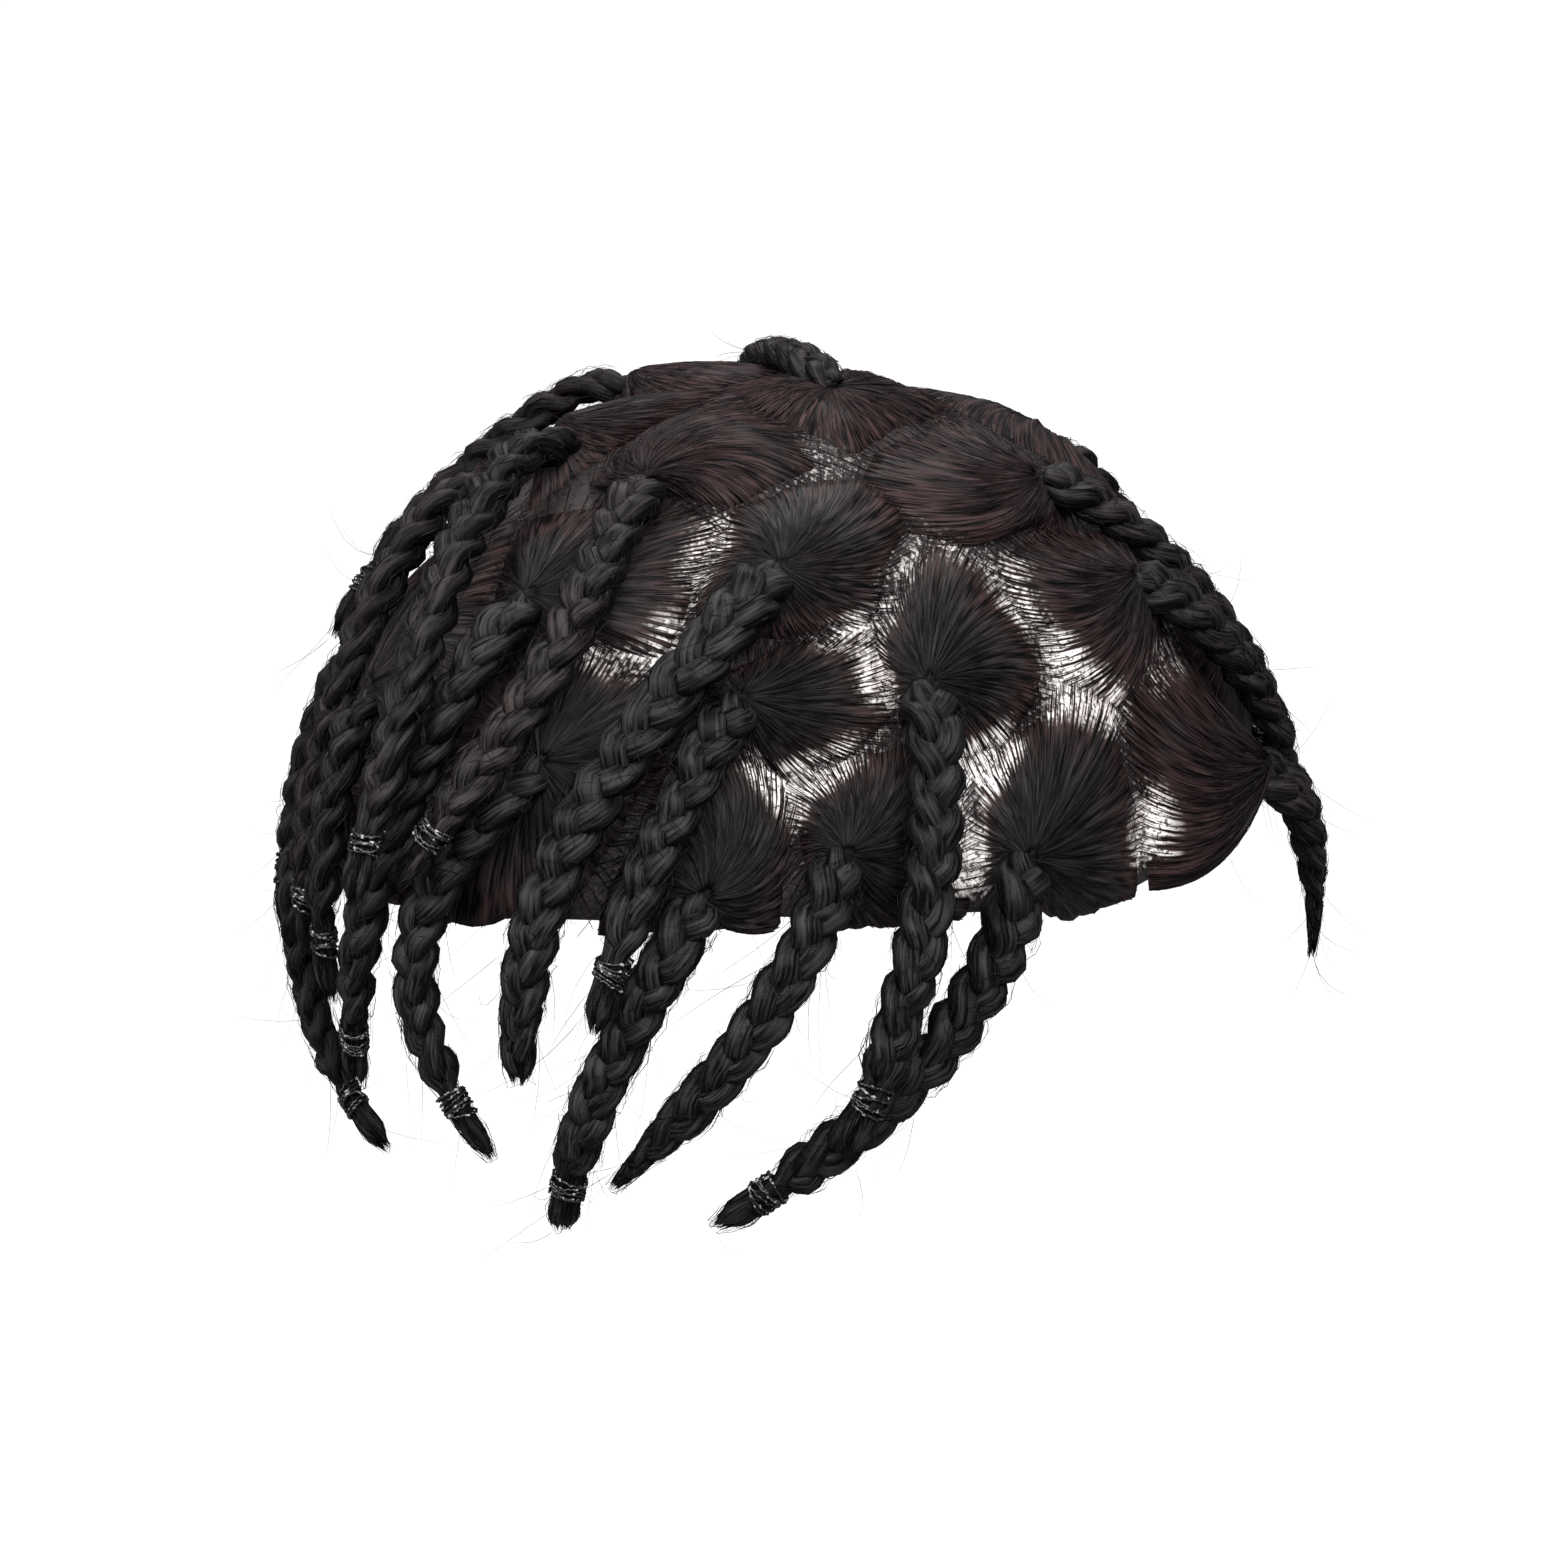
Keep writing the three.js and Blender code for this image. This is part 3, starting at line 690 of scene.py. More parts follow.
class BraidLine:
    """The line that a braid follows, evenly stepped, with its along, side and out directions."""

    def __init__(self, lock):
        self.lock = lock
        self.climb = 1.0
        share = np.linspace(0, 1, BRAID_LINE_STEPS)
        self.climb = BRAID_CLIMB_LENGTH / self.lengths(share)[-1]
        lengths = self.lengths(share)
        self.length = lengths[-1]
        self.tie = self.length - TAIL_LENGTH
        steps = int(np.ceil(self.length / STRAND_STEP))
        self.distance = np.linspace(0, self.length, steps + 1)
        at = np.interp(self.distance, lengths, share)
        self.middle = self.points(at)
        self.along = unit(np.gradient(self.middle, axis=0))
        out = outward(self.towards(at))
        self.side = unit(np.cross(self.along, out))
        self.out = np.cross(self.side, self.along)

    def towards(self, share):
        lock = self.lock
        azimuth = blend(lock.root[0], lock.tip[0], share) + lock.sway * np.sin(np.pi * share)
        return direction(azimuth, blend(lock.root[1], lock.tip[1], share))

    def points(self, share):
        lie = BRAID_LIE_HEIGHT + blend(self.lock.lift[0], self.lock.lift[1], share) * MM
        start = np.minimum(BRAID_ROOT_HEIGHT, lie)
        return on_dome(self.towards(share), blend(start, lie, smooth(share, 0, self.climb)))

    def lengths(self, share):
        steps = np.linalg.norm(np.diff(self.points(share), axis=0), axis=1)
        return np.concatenate([[0], np.cumsum(steps)])

    def step_at(self, distance):
        """Fractional steps at distances along the line."""
        return distance / self.length * (len(self.distance) - 1)

    def around(self, step, angle):
        """Ways out from the line at angles round the braid, which is flatter than it is wide."""
        flat = (BRAID_FLATNESS * np.sin(angle))[..., None]
        return at_steps(self.out, step) * flat + at_steps(self.side, step) * np.cos(angle)[..., None]

    def half_width(self, distance):
        """Half the braid's width along its length: gathered at the root, and at the tie or the wisp."""
        lock = self.lock
        full = lock.width * MM / 2
        plaited = full * blend(1, BRAID_TAPER, distance / self.length)
        plaited = plaited * blend(ROOT_GATHER, 1, smooth(distance, 0, ROOT_GATHER_LENGTH))
        if lock.end != "tie":
            thinning = smooth(distance, self.length - WISP_LENGTH, self.length)
            return plaited * blend(1, WISP_ENDS[lock.end], thinning)
        neck = full * NECK_SHARE
        above = self.tie - NECK_HALF_LENGTH
        gathered = smooth(distance, above - NECK_GATHER_LENGTH, above)
        bulge = self.tie + TAIL_BULGE_SHARE * TAIL_LENGTH
        tail = blend(1, TAIL_BULGE, smooth(distance, self.tie + NECK_HALF_LENGTH, bulge))
        tail = tail * blend(1, TAIL_END / TAIL_BULGE, smooth(distance, bulge, self.length))
        return blend(plaited, neck * tail, gathered)


class Strand:
    """One of the three strands of a plait: its middle line and its own frame."""

    def __init__(self, line, number, rng):
        half = line.half_width(line.distance)
        plaited = line.distance
        if line.lock.end == "tie":
            plaited = np.minimum(plaited, line.tie - NECK_HALF_LENGTH)
        uneven = PLAIT_UNEVENNESS * waves(TURN * plaited / PLAIT_LENGTH, PLAIT_WAVES, rng)
        phase = TURN * (plaited / PLAIT_LENGTH + number / STRANDS) + uneven
        aside = STRAND_SWING * half * np.sin(phase)
        above = -STRAND_WEAVE * half * np.sin(2 * phase)
        self.middle = line.middle + line.side * aside[:, None] + line.out * above[:, None]
        self.along = unit(np.gradient(self.middle, axis=0))
        self.side = unit(np.cross(self.along, line.out))
        self.out = np.cross(self.side, self.along)
        closed = half * (1 - smooth(line.distance, line.length - STRAND_CLOSING_LENGTH, line.length))
        swelling = STRAND_UNEVENNESS * waves(TURN * line.distance / PLAIT_LENGTH, PLAIT_WAVES, rng)
        closed = closed * (1 + swelling)
        self.half_width = STRAND_HALF_WIDTH * closed
        self.half_thickness = STRAND_HALF_THICKNESS * closed

    def at(self, step, angle, grown):
        """Points round the strand at fractional steps, at an angle from its outer face."""
        wide = at_steps(self.half_width[:, None], step) * grown[..., None]
        thick = at_steps(self.half_thickness[:, None], step) * grown[..., None]
        out = at_steps(self.out, step)
        side = at_steps(self.side, step)
        cosine = np.cos(angle)[..., None]
        sine = np.sin(angle)[..., None]
        flat_cosine = np.sign(cosine) * np.abs(cosine) ** STRAND_SQUARENESS
        flat_sine = np.sign(sine) * np.abs(sine) ** STRAND_SQUARENESS
        ring = out * thick * flat_cosine + side * wide * flat_sine
        return at_steps(self.middle, step) + ring, out * cosine + side * sine


def add_strands(heap, line, strands, rng):
    steps = np.arange(len(line.distance))
    angle = turns(STRAND_SIDES)
    for strand in strands:
        turned = angle + TURN * line.distance[:, None] / STRAND_TWIST
        grown = 1 + waves(turned, STRAND_FLUTES, rng)
        points, _ = strand.at(steps[:, None] * np.ones(STRAND_SIDES), angle * np.ones((len(steps), 1)), grown)
        # The combing runs once round each strand from its outer face, so the plaited finish gives its sides
        # and back painted shade
        heap.add_tube(points, 1.0, line.distance / PLAIT_LENGTH + rng.uniform(0, STREAK_SHIFT))


def add_braid_hairs(heap, paths, out, thickness, taper, share, rng):
    """Hairs of a braid along paths, each with its own thickness and streak, and its own depth of painted
    shade.
    """
    count = len(paths)
    thick = rng.uniform(*thickness, count)[:, None] * taper
    across = rng.uniform(-LIT_FACE, LIT_FACE, count)
    heap.add_fibres(paths, out, thick, across, share * np.ones((count, 1)))


def add_strand_hairs(heap, line, strands, rng):
    """Hairs that hug a strand of the plait, some with an end that strays from it."""
    share = np.linspace(0, 1, len(HUGGING_TAPER) + 2)
    last = len(line.distance) - 1
    count = HUGGING_HAIRS
    for strand in strands:
        length = rng.uniform(*HUGGING_LENGTH, count) / STRAND_STEP
        start = rng.uniform(0, 1, count) * np.clip(last - length, 0, None)
        step = np.clip(start[:, None] + length[:, None] * share, 0, last)
        angle = rng.uniform(-HUGGING_FACE, HUGGING_FACE, count)[:, None]
        angle = angle + rng.normal(0, HUGGING_DRIFT, count)[:, None] * share
        strays = rng.uniform(0, 1, count) < STRAYING_SHARE
        rise = np.where(strays, rng.uniform(0, STRAYING_LIFT, count), HUGGING_TUCK)
        paths, out = strand.at(step, angle, HUGGING_RISE + rise[:, None] * share ** 3)
        add_braid_hairs(heap, paths, out, HUGGING_THICKNESS, HUGGING_TAPER, share, rng)


def add_frizz(heap, line, rng):
    """Fine hairs that wander over the outside of a braid."""
    share = np.linspace(0, 1, len(FRIZZ_TAPER) + 2)
    count = int(line.length / FRIZZ_SPACING)
    start = rng.uniform(0, 1, count) * (line.length - FRIZZ_LENGTH[0])
    distance = np.clip(start[:, None] + rng.uniform(*FRIZZ_LENGTH, count)[:, None] * share, 0, line.length)
    angle = rng.uniform(0, TURN, count)[:, None]
    angle = angle + np.cumsum(rng.normal(0, FRIZZ_WANDER, (count, len(share))), axis=1)
    half = line.half_width(distance) * rng.uniform(*FRIZZ_RISE, (count, len(share)))
    step = line.step_at(distance)
    ring = line.around(step, angle)
    paths = at_steps(line.middle, step) + ring * half[..., None]
    add_braid_hairs(heap, paths, ring, FRIZZ_THICKNESS, FRIZZ_TAPER, share, rng)


def add_brush(heap, line, rng):
    """The loose hairs of a tail below its tie, or at the end of a wisp."""
    share = np.linspace(0, 1, len(BRUSH_TAPER) + 2)
    count = BRUSH_HAIRS
    begin = line.length - WISP_BRUSH_LENGTH
    if line.lock.end == "tie":
        begin = line.tie - NECK_HALF_LENGTH
    finish = line.length + rng.uniform(*BRUSH_REACH, count)
    distance = begin + (finish - begin)[:, None] * share
    inside = np.clip(distance, 0, line.length)
    step = line.step_at(inside)
    ring = line.around(step, rng.uniform(0, TURN, count)[:, None])
    filled = np.sqrt(rng.uniform(*BRUSH_FILL, count))[:, None]
    half = line.half_width(inside) * filled * (1 - BRUSH_ROUNDING * share ** 4)
    beyond = at_steps(line.along, step) * (distance - inside)[..., None]
    paths = at_steps(line.middle, step) + ring * half[..., None] + beyond
    add_braid_hairs(heap, paths, ring, BRUSH_THICKNESS, BRUSH_TAPER, share, rng)


# Ties and base

def add_tie(heap, line, rng):
    """Elastic wound round the neck of a braid in uneven turns that lie close together."""
    here = int(round(line.step_at(line.tie)))
    half = line.lock.width * MM * NECK_SHARE / 2
    turn = turns(TIE_STEPS_ROUND)[:, None]
    across = turns(TIE_SIDES)[None]
    row, side = np.mgrid[0:TIE_STEPS_ROUND, 0:TIE_SIDES]
    ahead = (row + 1) % TIE_STEPS_ROUND
    after = (side + 1) % TIE_SIDES
    quads = np.stack([row * TIE_SIDES + side, ahead * TIE_SIDES + side,
                      ahead * TIE_SIDES + after, row * TIE_SIDES + after], -1).reshape(-1, 4)
    u = np.stack([row, row + 1, row + 1, row], -1) / TIE_STEPS_ROUND
    v = np.stack([side, side, side + 1, side + 1], -1) / TIE_SIDES
    for place in np.linspace(-1, 1, TIE_TURNS):
        rise = TIE_CLEARANCE + TIE_CORD + TIE_CRINKLE * (1 + waves(turn, TIE_CRINKLES, rng))
        shift = place * (TIE_HALF_LENGTH - TIE_CORD) + TIE_TILT * np.sin(turn + rng.uniform(0, TURN))
        shift = shift + TIE_CRINKLE * waves(turn, TIE_CRINKLES, rng)
        grown = rise + TIE_CORD * np.cos(across)
        wide = half + grown
        thick = half * BRAID_FLATNESS + grown
        rings = (line.middle[here] + line.side[here] * (wide * np.cos(turn))[..., None]
                 + line.out[here] * (thick * np.sin(turn))[..., None]
                 + line.along[here] * (shift + TIE_CORD * np.sin(across))[..., None])
        heap.add(rings.reshape(-1, 3), (quads, np.stack([u, v], -1)))


def add_base(heap, rng):
    """The lace base: a thin dome with a slightly uneven rim."""
    azimuth = np.arange(BASE_STEPS_ROUND) * 360 / BASE_STEPS_ROUND
    rim = rim_polar(azimuth) + RIM_WAVE * waves(np.radians(azimuth), RIM_WAVES, rng)
    share = np.linspace(BASE_TOP_SHARE, 1, BASE_STEPS_DOWN)
    ways = direction(azimuth, share[:, None] * rim)
    edge = on_dome(direction(azimuth, rim + RIM_ROUNDING)[None], BASE_WALL / 2)
    along = np.concatenate([share, [1.0], share[::-1]])
    inside = np.full((BASE_STEPS_DOWN + 1) * BASE_STEPS_ROUND, INSIDE_BARE)
    outside = bareness_and_light(ways[::-1].reshape(-1, 3))
    bare = np.concatenate([inside, outside, [INSIDE_BARE, LEAST_BARE]])
    rings = np.concatenate([on_dome(ways, 0.0), edge, on_dome(ways[::-1], BASE_WALL)])
    heap.add_tube(rings, 1.0, along, bare)


def add_flyaways(heap, lines, rng):
    """Single hairs that stray from the braids and hang in loose curves."""
    share = np.linspace(0, 1, FLYAWAY_STEPS)[:, None]
    lowest = np.array(CAD_LOW) - FLYAWAY_REACH
    highest = np.array(CAD_HIGH) + FLYAWAY_REACH
    paths = []
    while len(paths) < FLYAWAY_HAIRS:
        line = lines[rng.integers(len(lines))]
        here = rng.integers(len(line.distance) // FLYAWAY_CLEAR_PART, len(line.distance))
        aside = rng.choice([-1, 1])
        half = line.half_width(line.distance[here])
        start = line.middle[here] + line.side[here] * aside * half * FLYAWAY_START
        way = line.along[here] + line.side[here] * aside * rng.uniform(*FLYAWAY_ASIDE)
        way = way + line.out[here] * rng.uniform(*FLYAWAY_OUT)
        way = unit(way) * rng.uniform(*FLYAWAY_LENGTH)
        bend = rng.normal(0, FLYAWAY_BEND, 3) - UP * rng.uniform(0, FLYAWAY_DROOP)
        path = start + way * share + bend * share ** 2 - way * FLYAWAY_CURL * share ** 3
        if ((path > lowest) & (path < highest)).all():
            paths.append(path)
    paths = np.array(paths)
    count, steps, _ = paths.shape
    thickness = rng.uniform(*FLYAWAY_THICKNESS, count)[:, None] * np.linspace(1, FLYAWAY_TIP, steps - 2)
    out = np.broadcast_to(FLYAWAY_UP, paths.shape)
    # Each hair's place across the combing sets how much painted shade the plaited finish gives it
    heap.add_fibres(paths, out, thickness, rng.uniform(0, 1, count), share[:, 0] * np.ones((count, 1)))


# Finishes

class Nodes:
    """Short ways of placing and joining nodes in one tree."""

    # The Mix node's sockets for colours
    MIX_SHARE = 0
    MIX_FIRST = 6
    MIX_SECOND = 7
    MIX_RESULT = 2

    def __init__(self, tree):
        self.tree = tree

    def new(self, kind, **settings):
        node = self.tree.nodes.new(kind)
        for name, value in settings.items():
            setattr(node, name, value)
        return node

    def link(self, source, target):
        self.tree.links.new(source, target)

    def math(self, operation, first, second=0.0):
        node = self.new("ShaderNodeMath", operation=operation)
        for socket, value in zip(node.inputs, (first, second)):
            self.put(socket, value)
        return node.outputs[0]

    def times(self, first, second):
        return self.math("MULTIPLY", first, second)

    def put(self, socket, value):
        if isinstance(value, bpy.types.NodeSocket):
            self.link(value, socket)
        else:
            socket.default_value = value

    def vector(self, x, y, z=0.0):
        node = self.new("ShaderNodeCombineXYZ")
        for socket, value in zip(node.inputs, (x, y, z)):
            self.put(socket, value)
        return node.outputs[0]

    def noise(self, vector, scale, detail, dimensions="3D"):
        node = self.new("ShaderNodeTexNoise", noise_dimensions=dimensions)
        self.link(vector, node.inputs["Vector"])
        self.put(node.inputs["Scale"], scale)
        node.inputs["Detail"].default_value = detail
        return node.outputs["Fac"]

    def spread(self, value, low, high, to_low=0.0, to_high=1.0):
        node = self.new("ShaderNodeMapRange")
        for socket, item in zip(node.inputs, (value, low, high, to_low, to_high)):
            self.put(socket, item)
        return node.outputs[0]

    def mix(self, share, first, second, way="MIX"):
        node = self.new("ShaderNodeMix", data_type="RGBA", blend_type=way)
        self.put(node.inputs[self.MIX_SHARE], share)
        self.put(node.inputs[self.MIX_FIRST], first)
        self.put(node.inputs[self.MIX_SECOND], second)
        return node.outputs[self.MIX_RESULT]

    def combing(self):
        """How far a place lies across the fibres, and how far along them."""
        parts = self.new("ShaderNodeSeparateXYZ")
        self.link(self.new("ShaderNodeUVMap", uv_map="Combing").outputs[0], parts.inputs[0])
        return parts.outputs[0], parts.outputs[1]

    def place(self):
        return self.new("ShaderNodeTexCoord").outputs["Object"]

    def painted(self, name):
        """The warmth or the bareness that the mesh has at a place."""
        return self.new("ShaderNodeAttribute", attribute_name=name).outputs["Fac"]


def new_group(name, values, colours, outputs):
    """An empty node group with named inputs, each value with its usual setting, and named outputs."""
    tree = bpy.data.node_groups.new(name, "ShaderNodeTree")
    for socket, usual in values:
        tree.interface.new_socket(socket, in_out="INPUT", socket_type="NodeSocketFloat").default_value = usual
    for socket in colours:
        tree.interface.new_socket(socket, in_out="INPUT", socket_type="NodeSocketColor")
    for socket in outputs:
        kind = "NodeSocketColor" if socket == "Colour" else "NodeSocketFloat"
        tree.interface.new_socket(socket, in_out="OUTPUT", socket_type=kind)
    nodes = Nodes(tree)
    return tree, nodes, nodes.new("NodeGroupInput").outputs, nodes.new("NodeGroupOutput").inputs


def fibre_streaks_and_shade():
    """Fine streaks that run along the combing of the hair, and the gaps between them, with painted shade on
    the sides and backs of strands.
    """
    tree, nodes, given, end = new_group(
        "fibre_streaks_and_shade", (("Fibres", 60.0), ("Breaks", 2.0), ("Painted shade", 0.0), ("Edge", 0.0)),
        ("Dark", "Light", "Warm"), ("Colour", "Roughness", "Height", "Gaps"))
    u, v = nodes.combing()
    across = nodes.times(u, given["Fibres"])
    along = nodes.times(v, given["Breaks"])
    fine = nodes.noise(nodes.vector(across, along), 1.0, FINE, "2D")
    clump_across = nodes.times(across, CLUMPS_PER_FIBRE)
    clump = nodes.noise(nodes.vector(clump_across, along, CLUMP_LAYER), 1.0, COARSE)
    gap_across = nodes.times(across, GAPS_PER_FIBRE)
    gap_along = nodes.times(along, GAPS_PER_BREAK)
    gaps = nodes.noise(nodes.vector(gap_across, gap_along, GAP_LAYER), 1.0, COARSE)
    row = nodes.math("ADD", nodes.times(u, STRIPES.count), gaps)
    row = nodes.math("COSINE", nodes.times(row, TURN))
    rows = nodes.math("ADD", nodes.times(row, ROW_DEPTH), nodes.spread(gaps, *GAP_SPREAD))
    streak = nodes.math("ADD", nodes.times(fine, 1 - CLUMP_SHARE), nodes.times(clump, CLUMP_SHARE))
    # Painted shade: the colour darkens from the outer face of a strand round to its sides and back, by as
    # much as the painted shade input sets
    facing = nodes.math("COSINE", nodes.times(u, TURN))
    lit = nodes.spread(facing, *PAINTED_SHADE_SPREAD, nodes.math("SUBTRACT", 1.0, given["Painted shade"]), 1.0)
    shade = nodes.times(nodes.spread(streak, *STREAK_SPREAD), lit)
    plain = nodes.mix(shade, given["Dark"], given["Light"])
    patch = nodes.spread(nodes.noise(nodes.place(), WARM_GRAIN, FINE), *WARM_SPREAD)
    edge = nodes.times(nodes.spread(v, *WARM_EDGE_SPREAD), given["Edge"])
    warmth = nodes.times(nodes.math("ADD", nodes.painted("warmth"), edge), patch)
    warmth = nodes.math("MINIMUM", warmth, 1.0)
    warm = nodes.mix(warmth, plain, nodes.mix(1.0, plain, given["Warm"], "MULTIPLY"))
    nodes.link(warm, end["Colour"])
    nodes.link(nodes.spread(fine, *HAIR_ROUGHNESS_SPREAD), end["Roughness"])
    nodes.link(streak, end["Height"])
    nodes.link(rows, end["Gaps"])
    return tree


def lace_net():
    """Pale lace, dark with knots where it isn't bare, so that it is also painted pale on the lit side and
    dark elsewhere as painted light and shade: its colour, roughness and height.
    """
    tree, nodes, given, end = new_group("lace_net", (("Bare", 1.0),), (), ("Colour", "Roughness", "Height"))
    place = nodes.place()
    net = nodes.new("ShaderNodeTexVoronoi", feature="DISTANCE_TO_EDGE")
    nodes.link(place, net.inputs["Vector"])
    net.inputs["Scale"].default_value = LACE_MESH
    thread = nodes.spread(net.outputs["Distance"], *LACE_THREAD_SPREAD)
    tone = nodes.noise(place, LACE_TONE_GRAIN, FINEST)
    lace = nodes.mix(nodes.spread(tone, *LACE_TONE_SPREAD), LACE_PINK, LACE_PALE)
    knot = nodes.spread(nodes.noise(place, KNOT_GRAIN, COARSE), *KNOT_SPREAD)
    lace = nodes.mix(knot, nodes.mix(thread, lace, LACE_THREAD), LACE_KNOT_AND_SHADE)
    knots = nodes.spread(nodes.noise(place, KNOTTED_GRAIN, FINE), *KNOTTED_SPREAD)
    # Where the lace isn't bare it is painted nearly black: partly its knots and the hair over it, partly
    # painted shade
    knotted = nodes.mix(knots, LACE_KNOTS, LACE_NET)
    patch = nodes.spread(nodes.noise(place, LACE_PATCH_GRAIN, COARSE), *LACE_PATCH_SPREAD)
    bare = nodes.times(given["Bare"], patch)
    cover = nodes.spread(nodes.noise(place, LACE_COVER_GRAIN, COARSE), *LACE_COVER_SPREAD)
    shown = nodes.spread(bare, cover, nodes.math("ADD", cover, LACE_COVER_SOFTNESS))
    nodes.link(nodes.mix(shown, knotted, lace), end["Colour"])
    nodes.link(nodes.spread(tone, *LACE_ROUGHNESS_SPREAD), end["Roughness"])
    nodes.link(thread, end["Height"])
    return tree


def new_finish(name):
    finish = bpy.data.materials.new(name)
    finish.use_nodes = True
    nodes = Nodes(finish.node_tree)
    return finish, nodes, finish.node_tree.nodes["Principled BSDF"]


def raise_surface(nodes, shader, height, distance, strength):
    bump = nodes.new("ShaderNodeBump")
    bump.inputs["Strength"].default_value = strength
    bump.inputs["Distance"].default_value = distance
    nodes.link(height, bump.inputs["Height"])
    nodes.link(bump.outputs[0], shader.inputs["Normal"])


def hair_shader(name, streaks, fibres, breaks, painted_shade, edge):
    finish, nodes, shader = new_finish(name)
    group = nodes.new("ShaderNodeGroup", node_tree=streaks)
    # The painted shade input sets how dark the plaited finish paints the sides and backs of strands
    for socket, value in (("Fibres", fibres), ("Breaks", breaks), ("Painted shade", painted_shade), ("Edge", edge),
                          ("Dark", HAIR_DARK), ("Light", HAIR_LIGHT), ("Warm", HAIR_WARM)):
        group.inputs[socket].default_value = value
    nodes.link(group.outputs["Roughness"], shader.inputs["Roughness"])
    shader.inputs["Specular IOR Level"].default_value = HAIR_SHINE
    raise_surface(nodes, shader, group.outputs["Height"], HAIR_RELIEF, HAIR_RELIEF_STRENGTH)
    return finish, nodes, shader, group


def plaited_finish(streaks):
    finish, nodes, shader, group = hair_shader("plaited_hair", streaks, *PLAITED_STREAKS)
    nodes.link(group.outputs["Colour"], shader.inputs["Base Color"])
    return finish


def combed_finish(streaks, lace):
    """Combed hair that thins out towards the partings, where the lace shows between the hairs, painted darker
    under thicker hair: partly the lace's knots and tint, partly painted shade.
    """
    finish, nodes, shader, group = hair_shader("combed_hair", streaks, *COMBED_STREAKS)
    net = nodes.new("ShaderNodeGroup", node_tree=lace)
    bare = nodes.painted("bareness_and_light")
    _, outwards = nodes.combing()
    thin = nodes.times(nodes.spread(outwards, *THIN_SPREAD), nodes.spread(bare, *THIN_BARE_SPREAD))
    all_seen = nodes.math("SUBTRACT", thin, THIN_BELOW)
    none_seen = nodes.math("ADD", thin, THIN_ABOVE)
    seen = nodes.spread(group.outputs["Gaps"], all_seen, none_seen, 1.0, 0.0)
    seen = nodes.times(seen, nodes.spread(thin, *THIN_START_SPREAD))
    seen = nodes.times(seen, nodes.spread(bare, *BARE_START_SPREAD))
    nodes.link(bare, net.inputs["Bare"])
    # The lace between the hairs is dark brown where the hair is thicker, partly its tint and knots, partly
    # painted shade of the hair above it
    under = nodes.mix(nodes.spread(thin, *THIN_LACE_SPREAD), LACE_KNOT_AND_SHADE, net.outputs["Colour"])
    nodes.link(nodes.mix(seen, group.outputs["Colour"], under), shader.inputs["Base Color"])
    return finish


def lace_finish(lace):
    finish, nodes, shader = new_finish("lace_base")
    net = nodes.new("ShaderNodeGroup", node_tree=lace)
    _, down = nodes.combing()
    above_rim = nodes.spread(down, *LACE_RIM_SPREAD)
    # How bare the lace is, which also paints it pale where light falls and dark where shade falls, fading to
    # none at the rim
    nodes.link(nodes.times(nodes.painted("bareness_and_light"), above_rim), net.inputs["Bare"])
    nodes.link(net.outputs["Colour"], shader.inputs["Base Color"])
    nodes.link(net.outputs["Roughness"], shader.inputs["Roughness"])
    raise_surface(nodes, shader, net.outputs["Height"], LACE_RELIEF, LACE_RELIEF_STRENGTH)
    return finish


def elastic_finish():
    finish, nodes, shader = new_finish("wound_elastic")
    place = nodes.place()
    rib = nodes.noise(place, ELASTIC_RIB_GRAIN, FINE)
    tone = nodes.noise(place, ELASTIC_TONE_GRAIN, FINE)
    cord = nodes.mix(nodes.spread(rib, *ELASTIC_RIB_SPREAD), ELASTIC_DARK, ELASTIC_LIGHT)
    # Painted glints: pale specks that stand in for highlights sparkling on the elastic
    glint = nodes.spread(nodes.noise(place, ELASTIC_GLINT_GRAIN, SMOOTH), *ELASTIC_GLINT_SPREAD)
    nodes.link(nodes.mix(glint, cord, ELASTIC_GLINT), shader.inputs["Base Color"])
    nodes.link(nodes.spread(tone, *ELASTIC_ROUGHNESS_SPREAD), shader.inputs["Roughness"])
    shader.inputs["Specular IOR Level"].default_value = ELASTIC_SHINE
    raise_surface(nodes, shader, rib, ELASTIC_RELIEF, ELASTIC_RELIEF_STRENGTH)
    return finish


def floor_finish():
    finish, nodes, shader = new_finish("pale_floor")
    tone = nodes.noise(nodes.place(), FLOOR_GRAIN, FINE)
    nodes.link(nodes.mix(tone, FLOOR_SHADE, FLOOR_PALE), shader.inputs["Base Color"])
    shader.inputs["Roughness"].default_value = FLOOR_ROUGHNESS
    shader.inputs["Emission Color"].default_value = WHITE
    nodes.link(nodes.new("ShaderNodeLightPath").outputs["Is Camera Ray"], shader.inputs["Emission Strength"])
    return finish


# The view, the light and the floor

def seen_from(azimuth, elevation):
    """The right, up and back directions of something that looks at the toupee."""
    back = direction(azimuth, 90 - elevation)
    right = unit(np.cross(UP, back))
    return right, np.cross(back, right), back


def add_thing(name, data, axes, point):
    """A camera or a lamp at a point, turned to its right, up and back directions."""
    thing = bpy.data.objects.new(name, data)
    place = np.eye(4)
    place[:3, :3] = np.stack(axes, -1)
    place[:3, 3] = point
    thing.matrix_world = Matrix(place.tolist())
    bpy.context.scene.collection.objects.link(thing)
    return thing


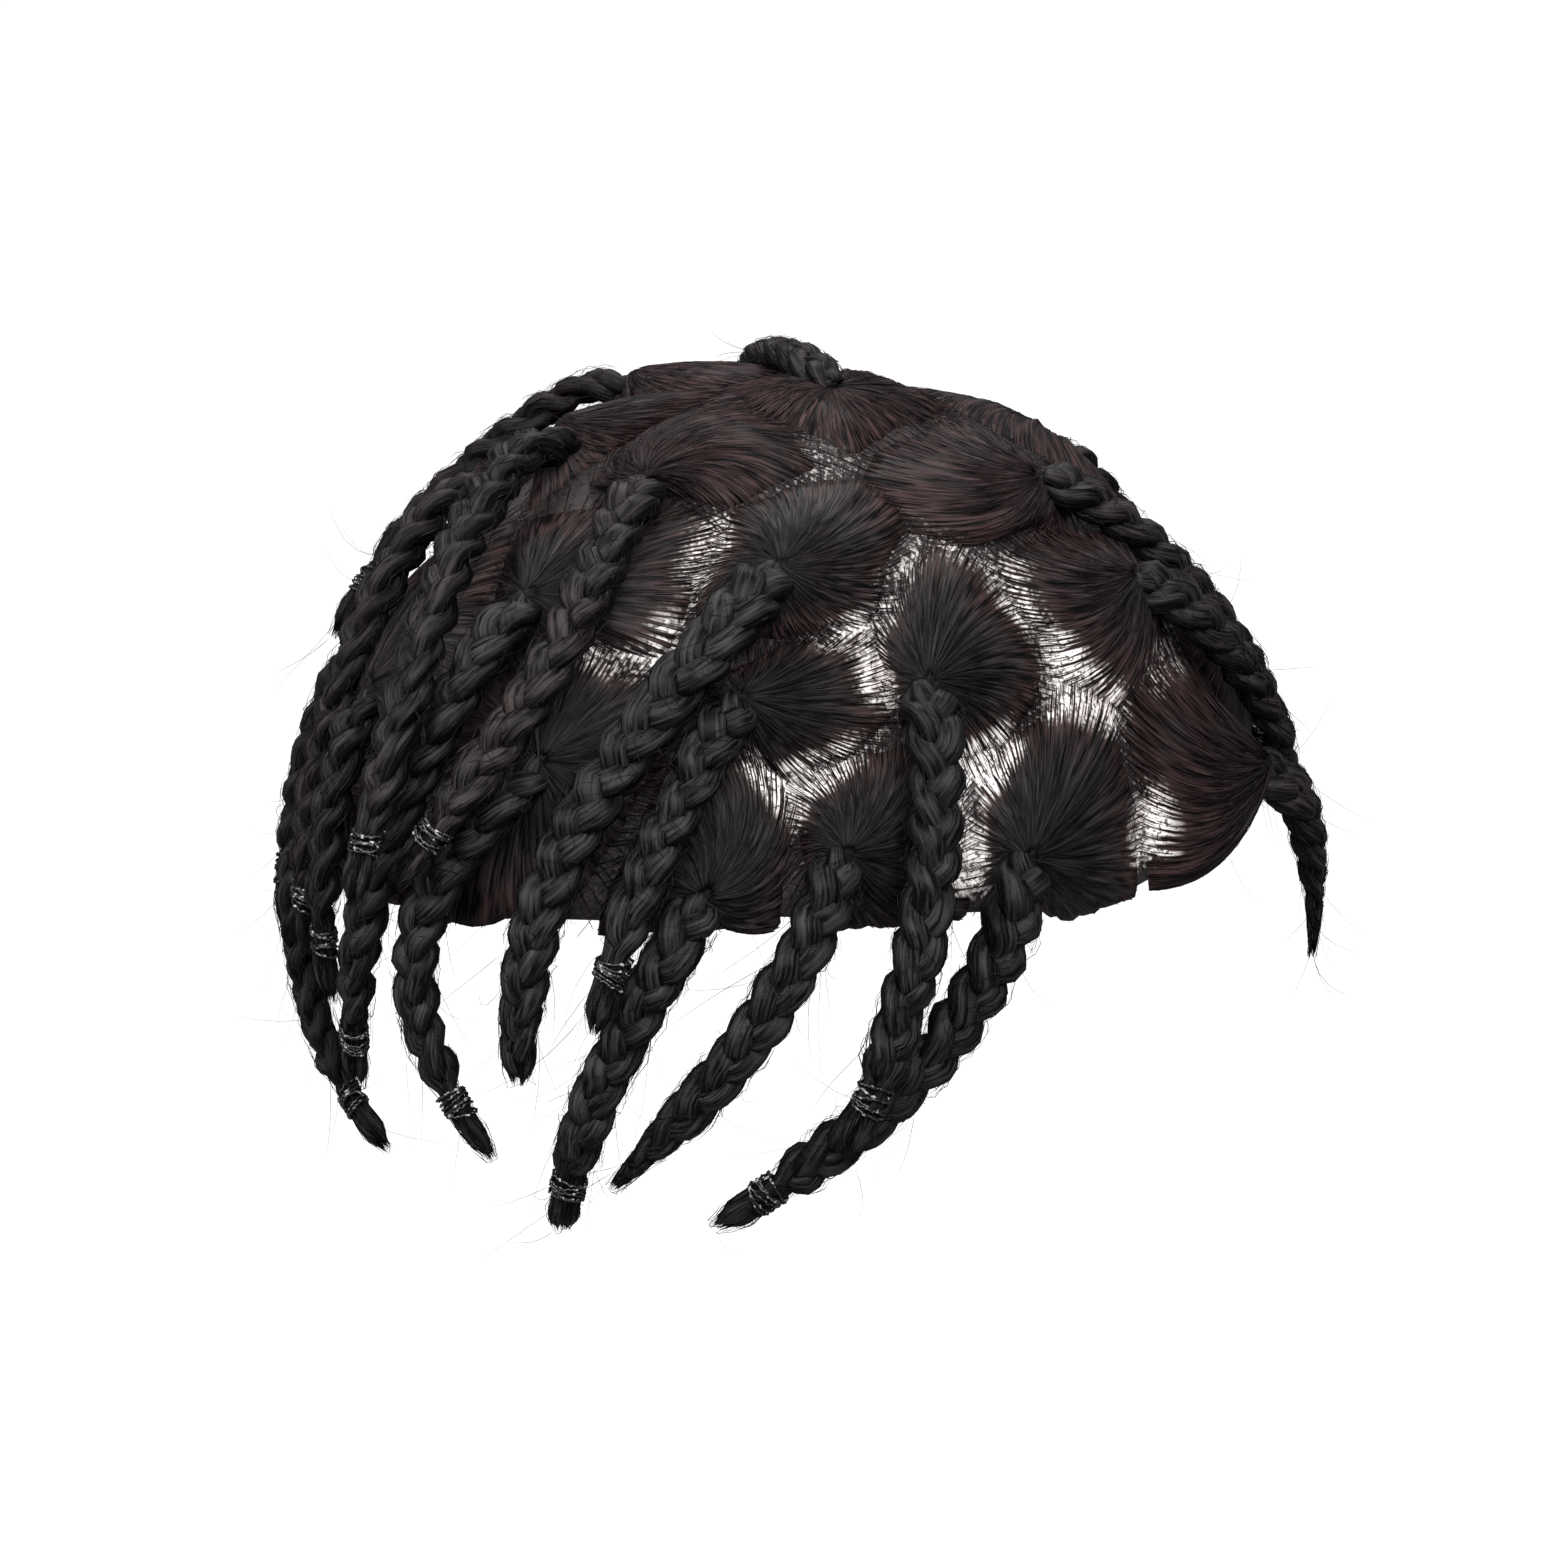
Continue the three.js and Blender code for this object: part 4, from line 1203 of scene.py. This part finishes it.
def make_camera():
    right, up, back = seen_from(VIEW_AZIMUTH, VIEW_ELEVATION)
    half = PHOTO_SIDE / 2
    target = -UP * CROWN_HEIGHT
    target = target + right * (half - DOME_MIDDLE_PIXEL[0]) / PIXELS_PER_METRE
    target = target + up * (DOME_MIDDLE_PIXEL[1] - half) / PIXELS_PER_METRE
    data = bpy.data.cameras.new("camera")
    data.sensor_width = SENSOR_WIDTH
    data.lens = SENSOR_WIDTH * PIXELS_PER_METRE * VIEW_DISTANCE / PHOTO_SIDE
    data.clip_start = NEAREST_SEEN
    data.clip_end = FURTHEST_SEEN
    camera = add_thing("camera", data, (right, up, back), target + back * VIEW_DISTANCE)
    bpy.context.scene.camera = camera


def make_light(name, azimuth, elevation, distance, size, power):
    data = bpy.data.lights.new(name, "AREA")
    data.size = size
    data.energy = power
    axes = seen_from(azimuth, elevation)
    add_thing(name, data, axes, axes[-1] * distance - UP * CROWN_HEIGHT / 2)


def make_studio():
    world = bpy.data.worlds.new("studio")
    world.use_nodes = True
    back = world.node_tree.nodes["Background"]
    back.inputs["Color"].default_value = WHITE
    back.inputs["Strength"].default_value = WORLD_LIGHT
    bpy.context.scene.world = world
    bpy.context.scene.view_settings.view_transform = "Standard"
    for light in LIGHTS:
        make_light(*light)
    data = bpy.data.meshes.new("floor")
    corners = [(-FLOOR_REACH, -FLOOR_REACH, FLOOR_HEIGHT), (FLOOR_REACH, -FLOOR_REACH, FLOOR_HEIGHT),
               (FLOOR_REACH, FLOOR_REACH, FLOOR_HEIGHT), (-FLOOR_REACH, FLOOR_REACH, FLOOR_HEIGHT)]
    data.from_pydata(corners, [], [(0, 1, 2, 3)])
    data.materials.append(floor_finish())
    floor = bpy.data.objects.new("floor", data)
    bpy.context.scene.collection.objects.link(floor)


def make_toupee():
    streaks = fibre_streaks_and_shade()
    lace = lace_net()
    combed = combed_finish(streaks, lace)
    plaited = plaited_finish(streaks)
    elastic = elastic_finish()
    base = Heap()
    add_base(base, np.random.default_rng(BASE_SEED))
    base.piece("lace_base", lace_finish(lace), "base", ["base"], 0.0)
    lines = []
    for number, lock in enumerate(LOCKS):
        rng = np.random.default_rng(LOCK_SEED + number)
        node = f"{lock.name}_lock"
        section = Section(lock, rng)
        mound = Heap()
        add_mound(mound, section)
        add_combed_hairs(mound, section, rng)
        add_fringe(mound, section, STRIPES, rng)
        add_fringe(mound, section, FINE_FRINGE, rng)
        add_fringe(mound, section, STUBBLE, np.random.default_rng(STUBBLE_SEED + number))
        mound.piece(f"{lock.name}_section", combed, "hair", [node], lock.warmth)
        line = BraidLine(lock)
        lines.append(line)
        strands = [Strand(line, strand, rng) for strand in range(STRANDS)]
        braid = Heap()
        add_strands(braid, line, strands, rng)
        add_strand_hairs(braid, line, strands, rng)
        add_frizz(braid, line, rng)
        add_brush(braid, line, rng)
        braid.piece(f"{lock.name}_braid", plaited, "hair", [node], lock.warmth * BRAID_WARMTH)
        if lock.end == "tie":
            tie = Heap()
            add_tie(tie, line, rng)
            tie.piece(f"{lock.name}_band", elastic, "elastic", [f"{lock.name}_tie"], 0.0)
    stray = Heap()
    add_flyaways(stray, lines, np.random.default_rng(FLYAWAY_SEED))
    stray.piece("flyaway_hairs", plaited, "hair", [], 0.0)


make_camera()
make_studio()
make_toupee()
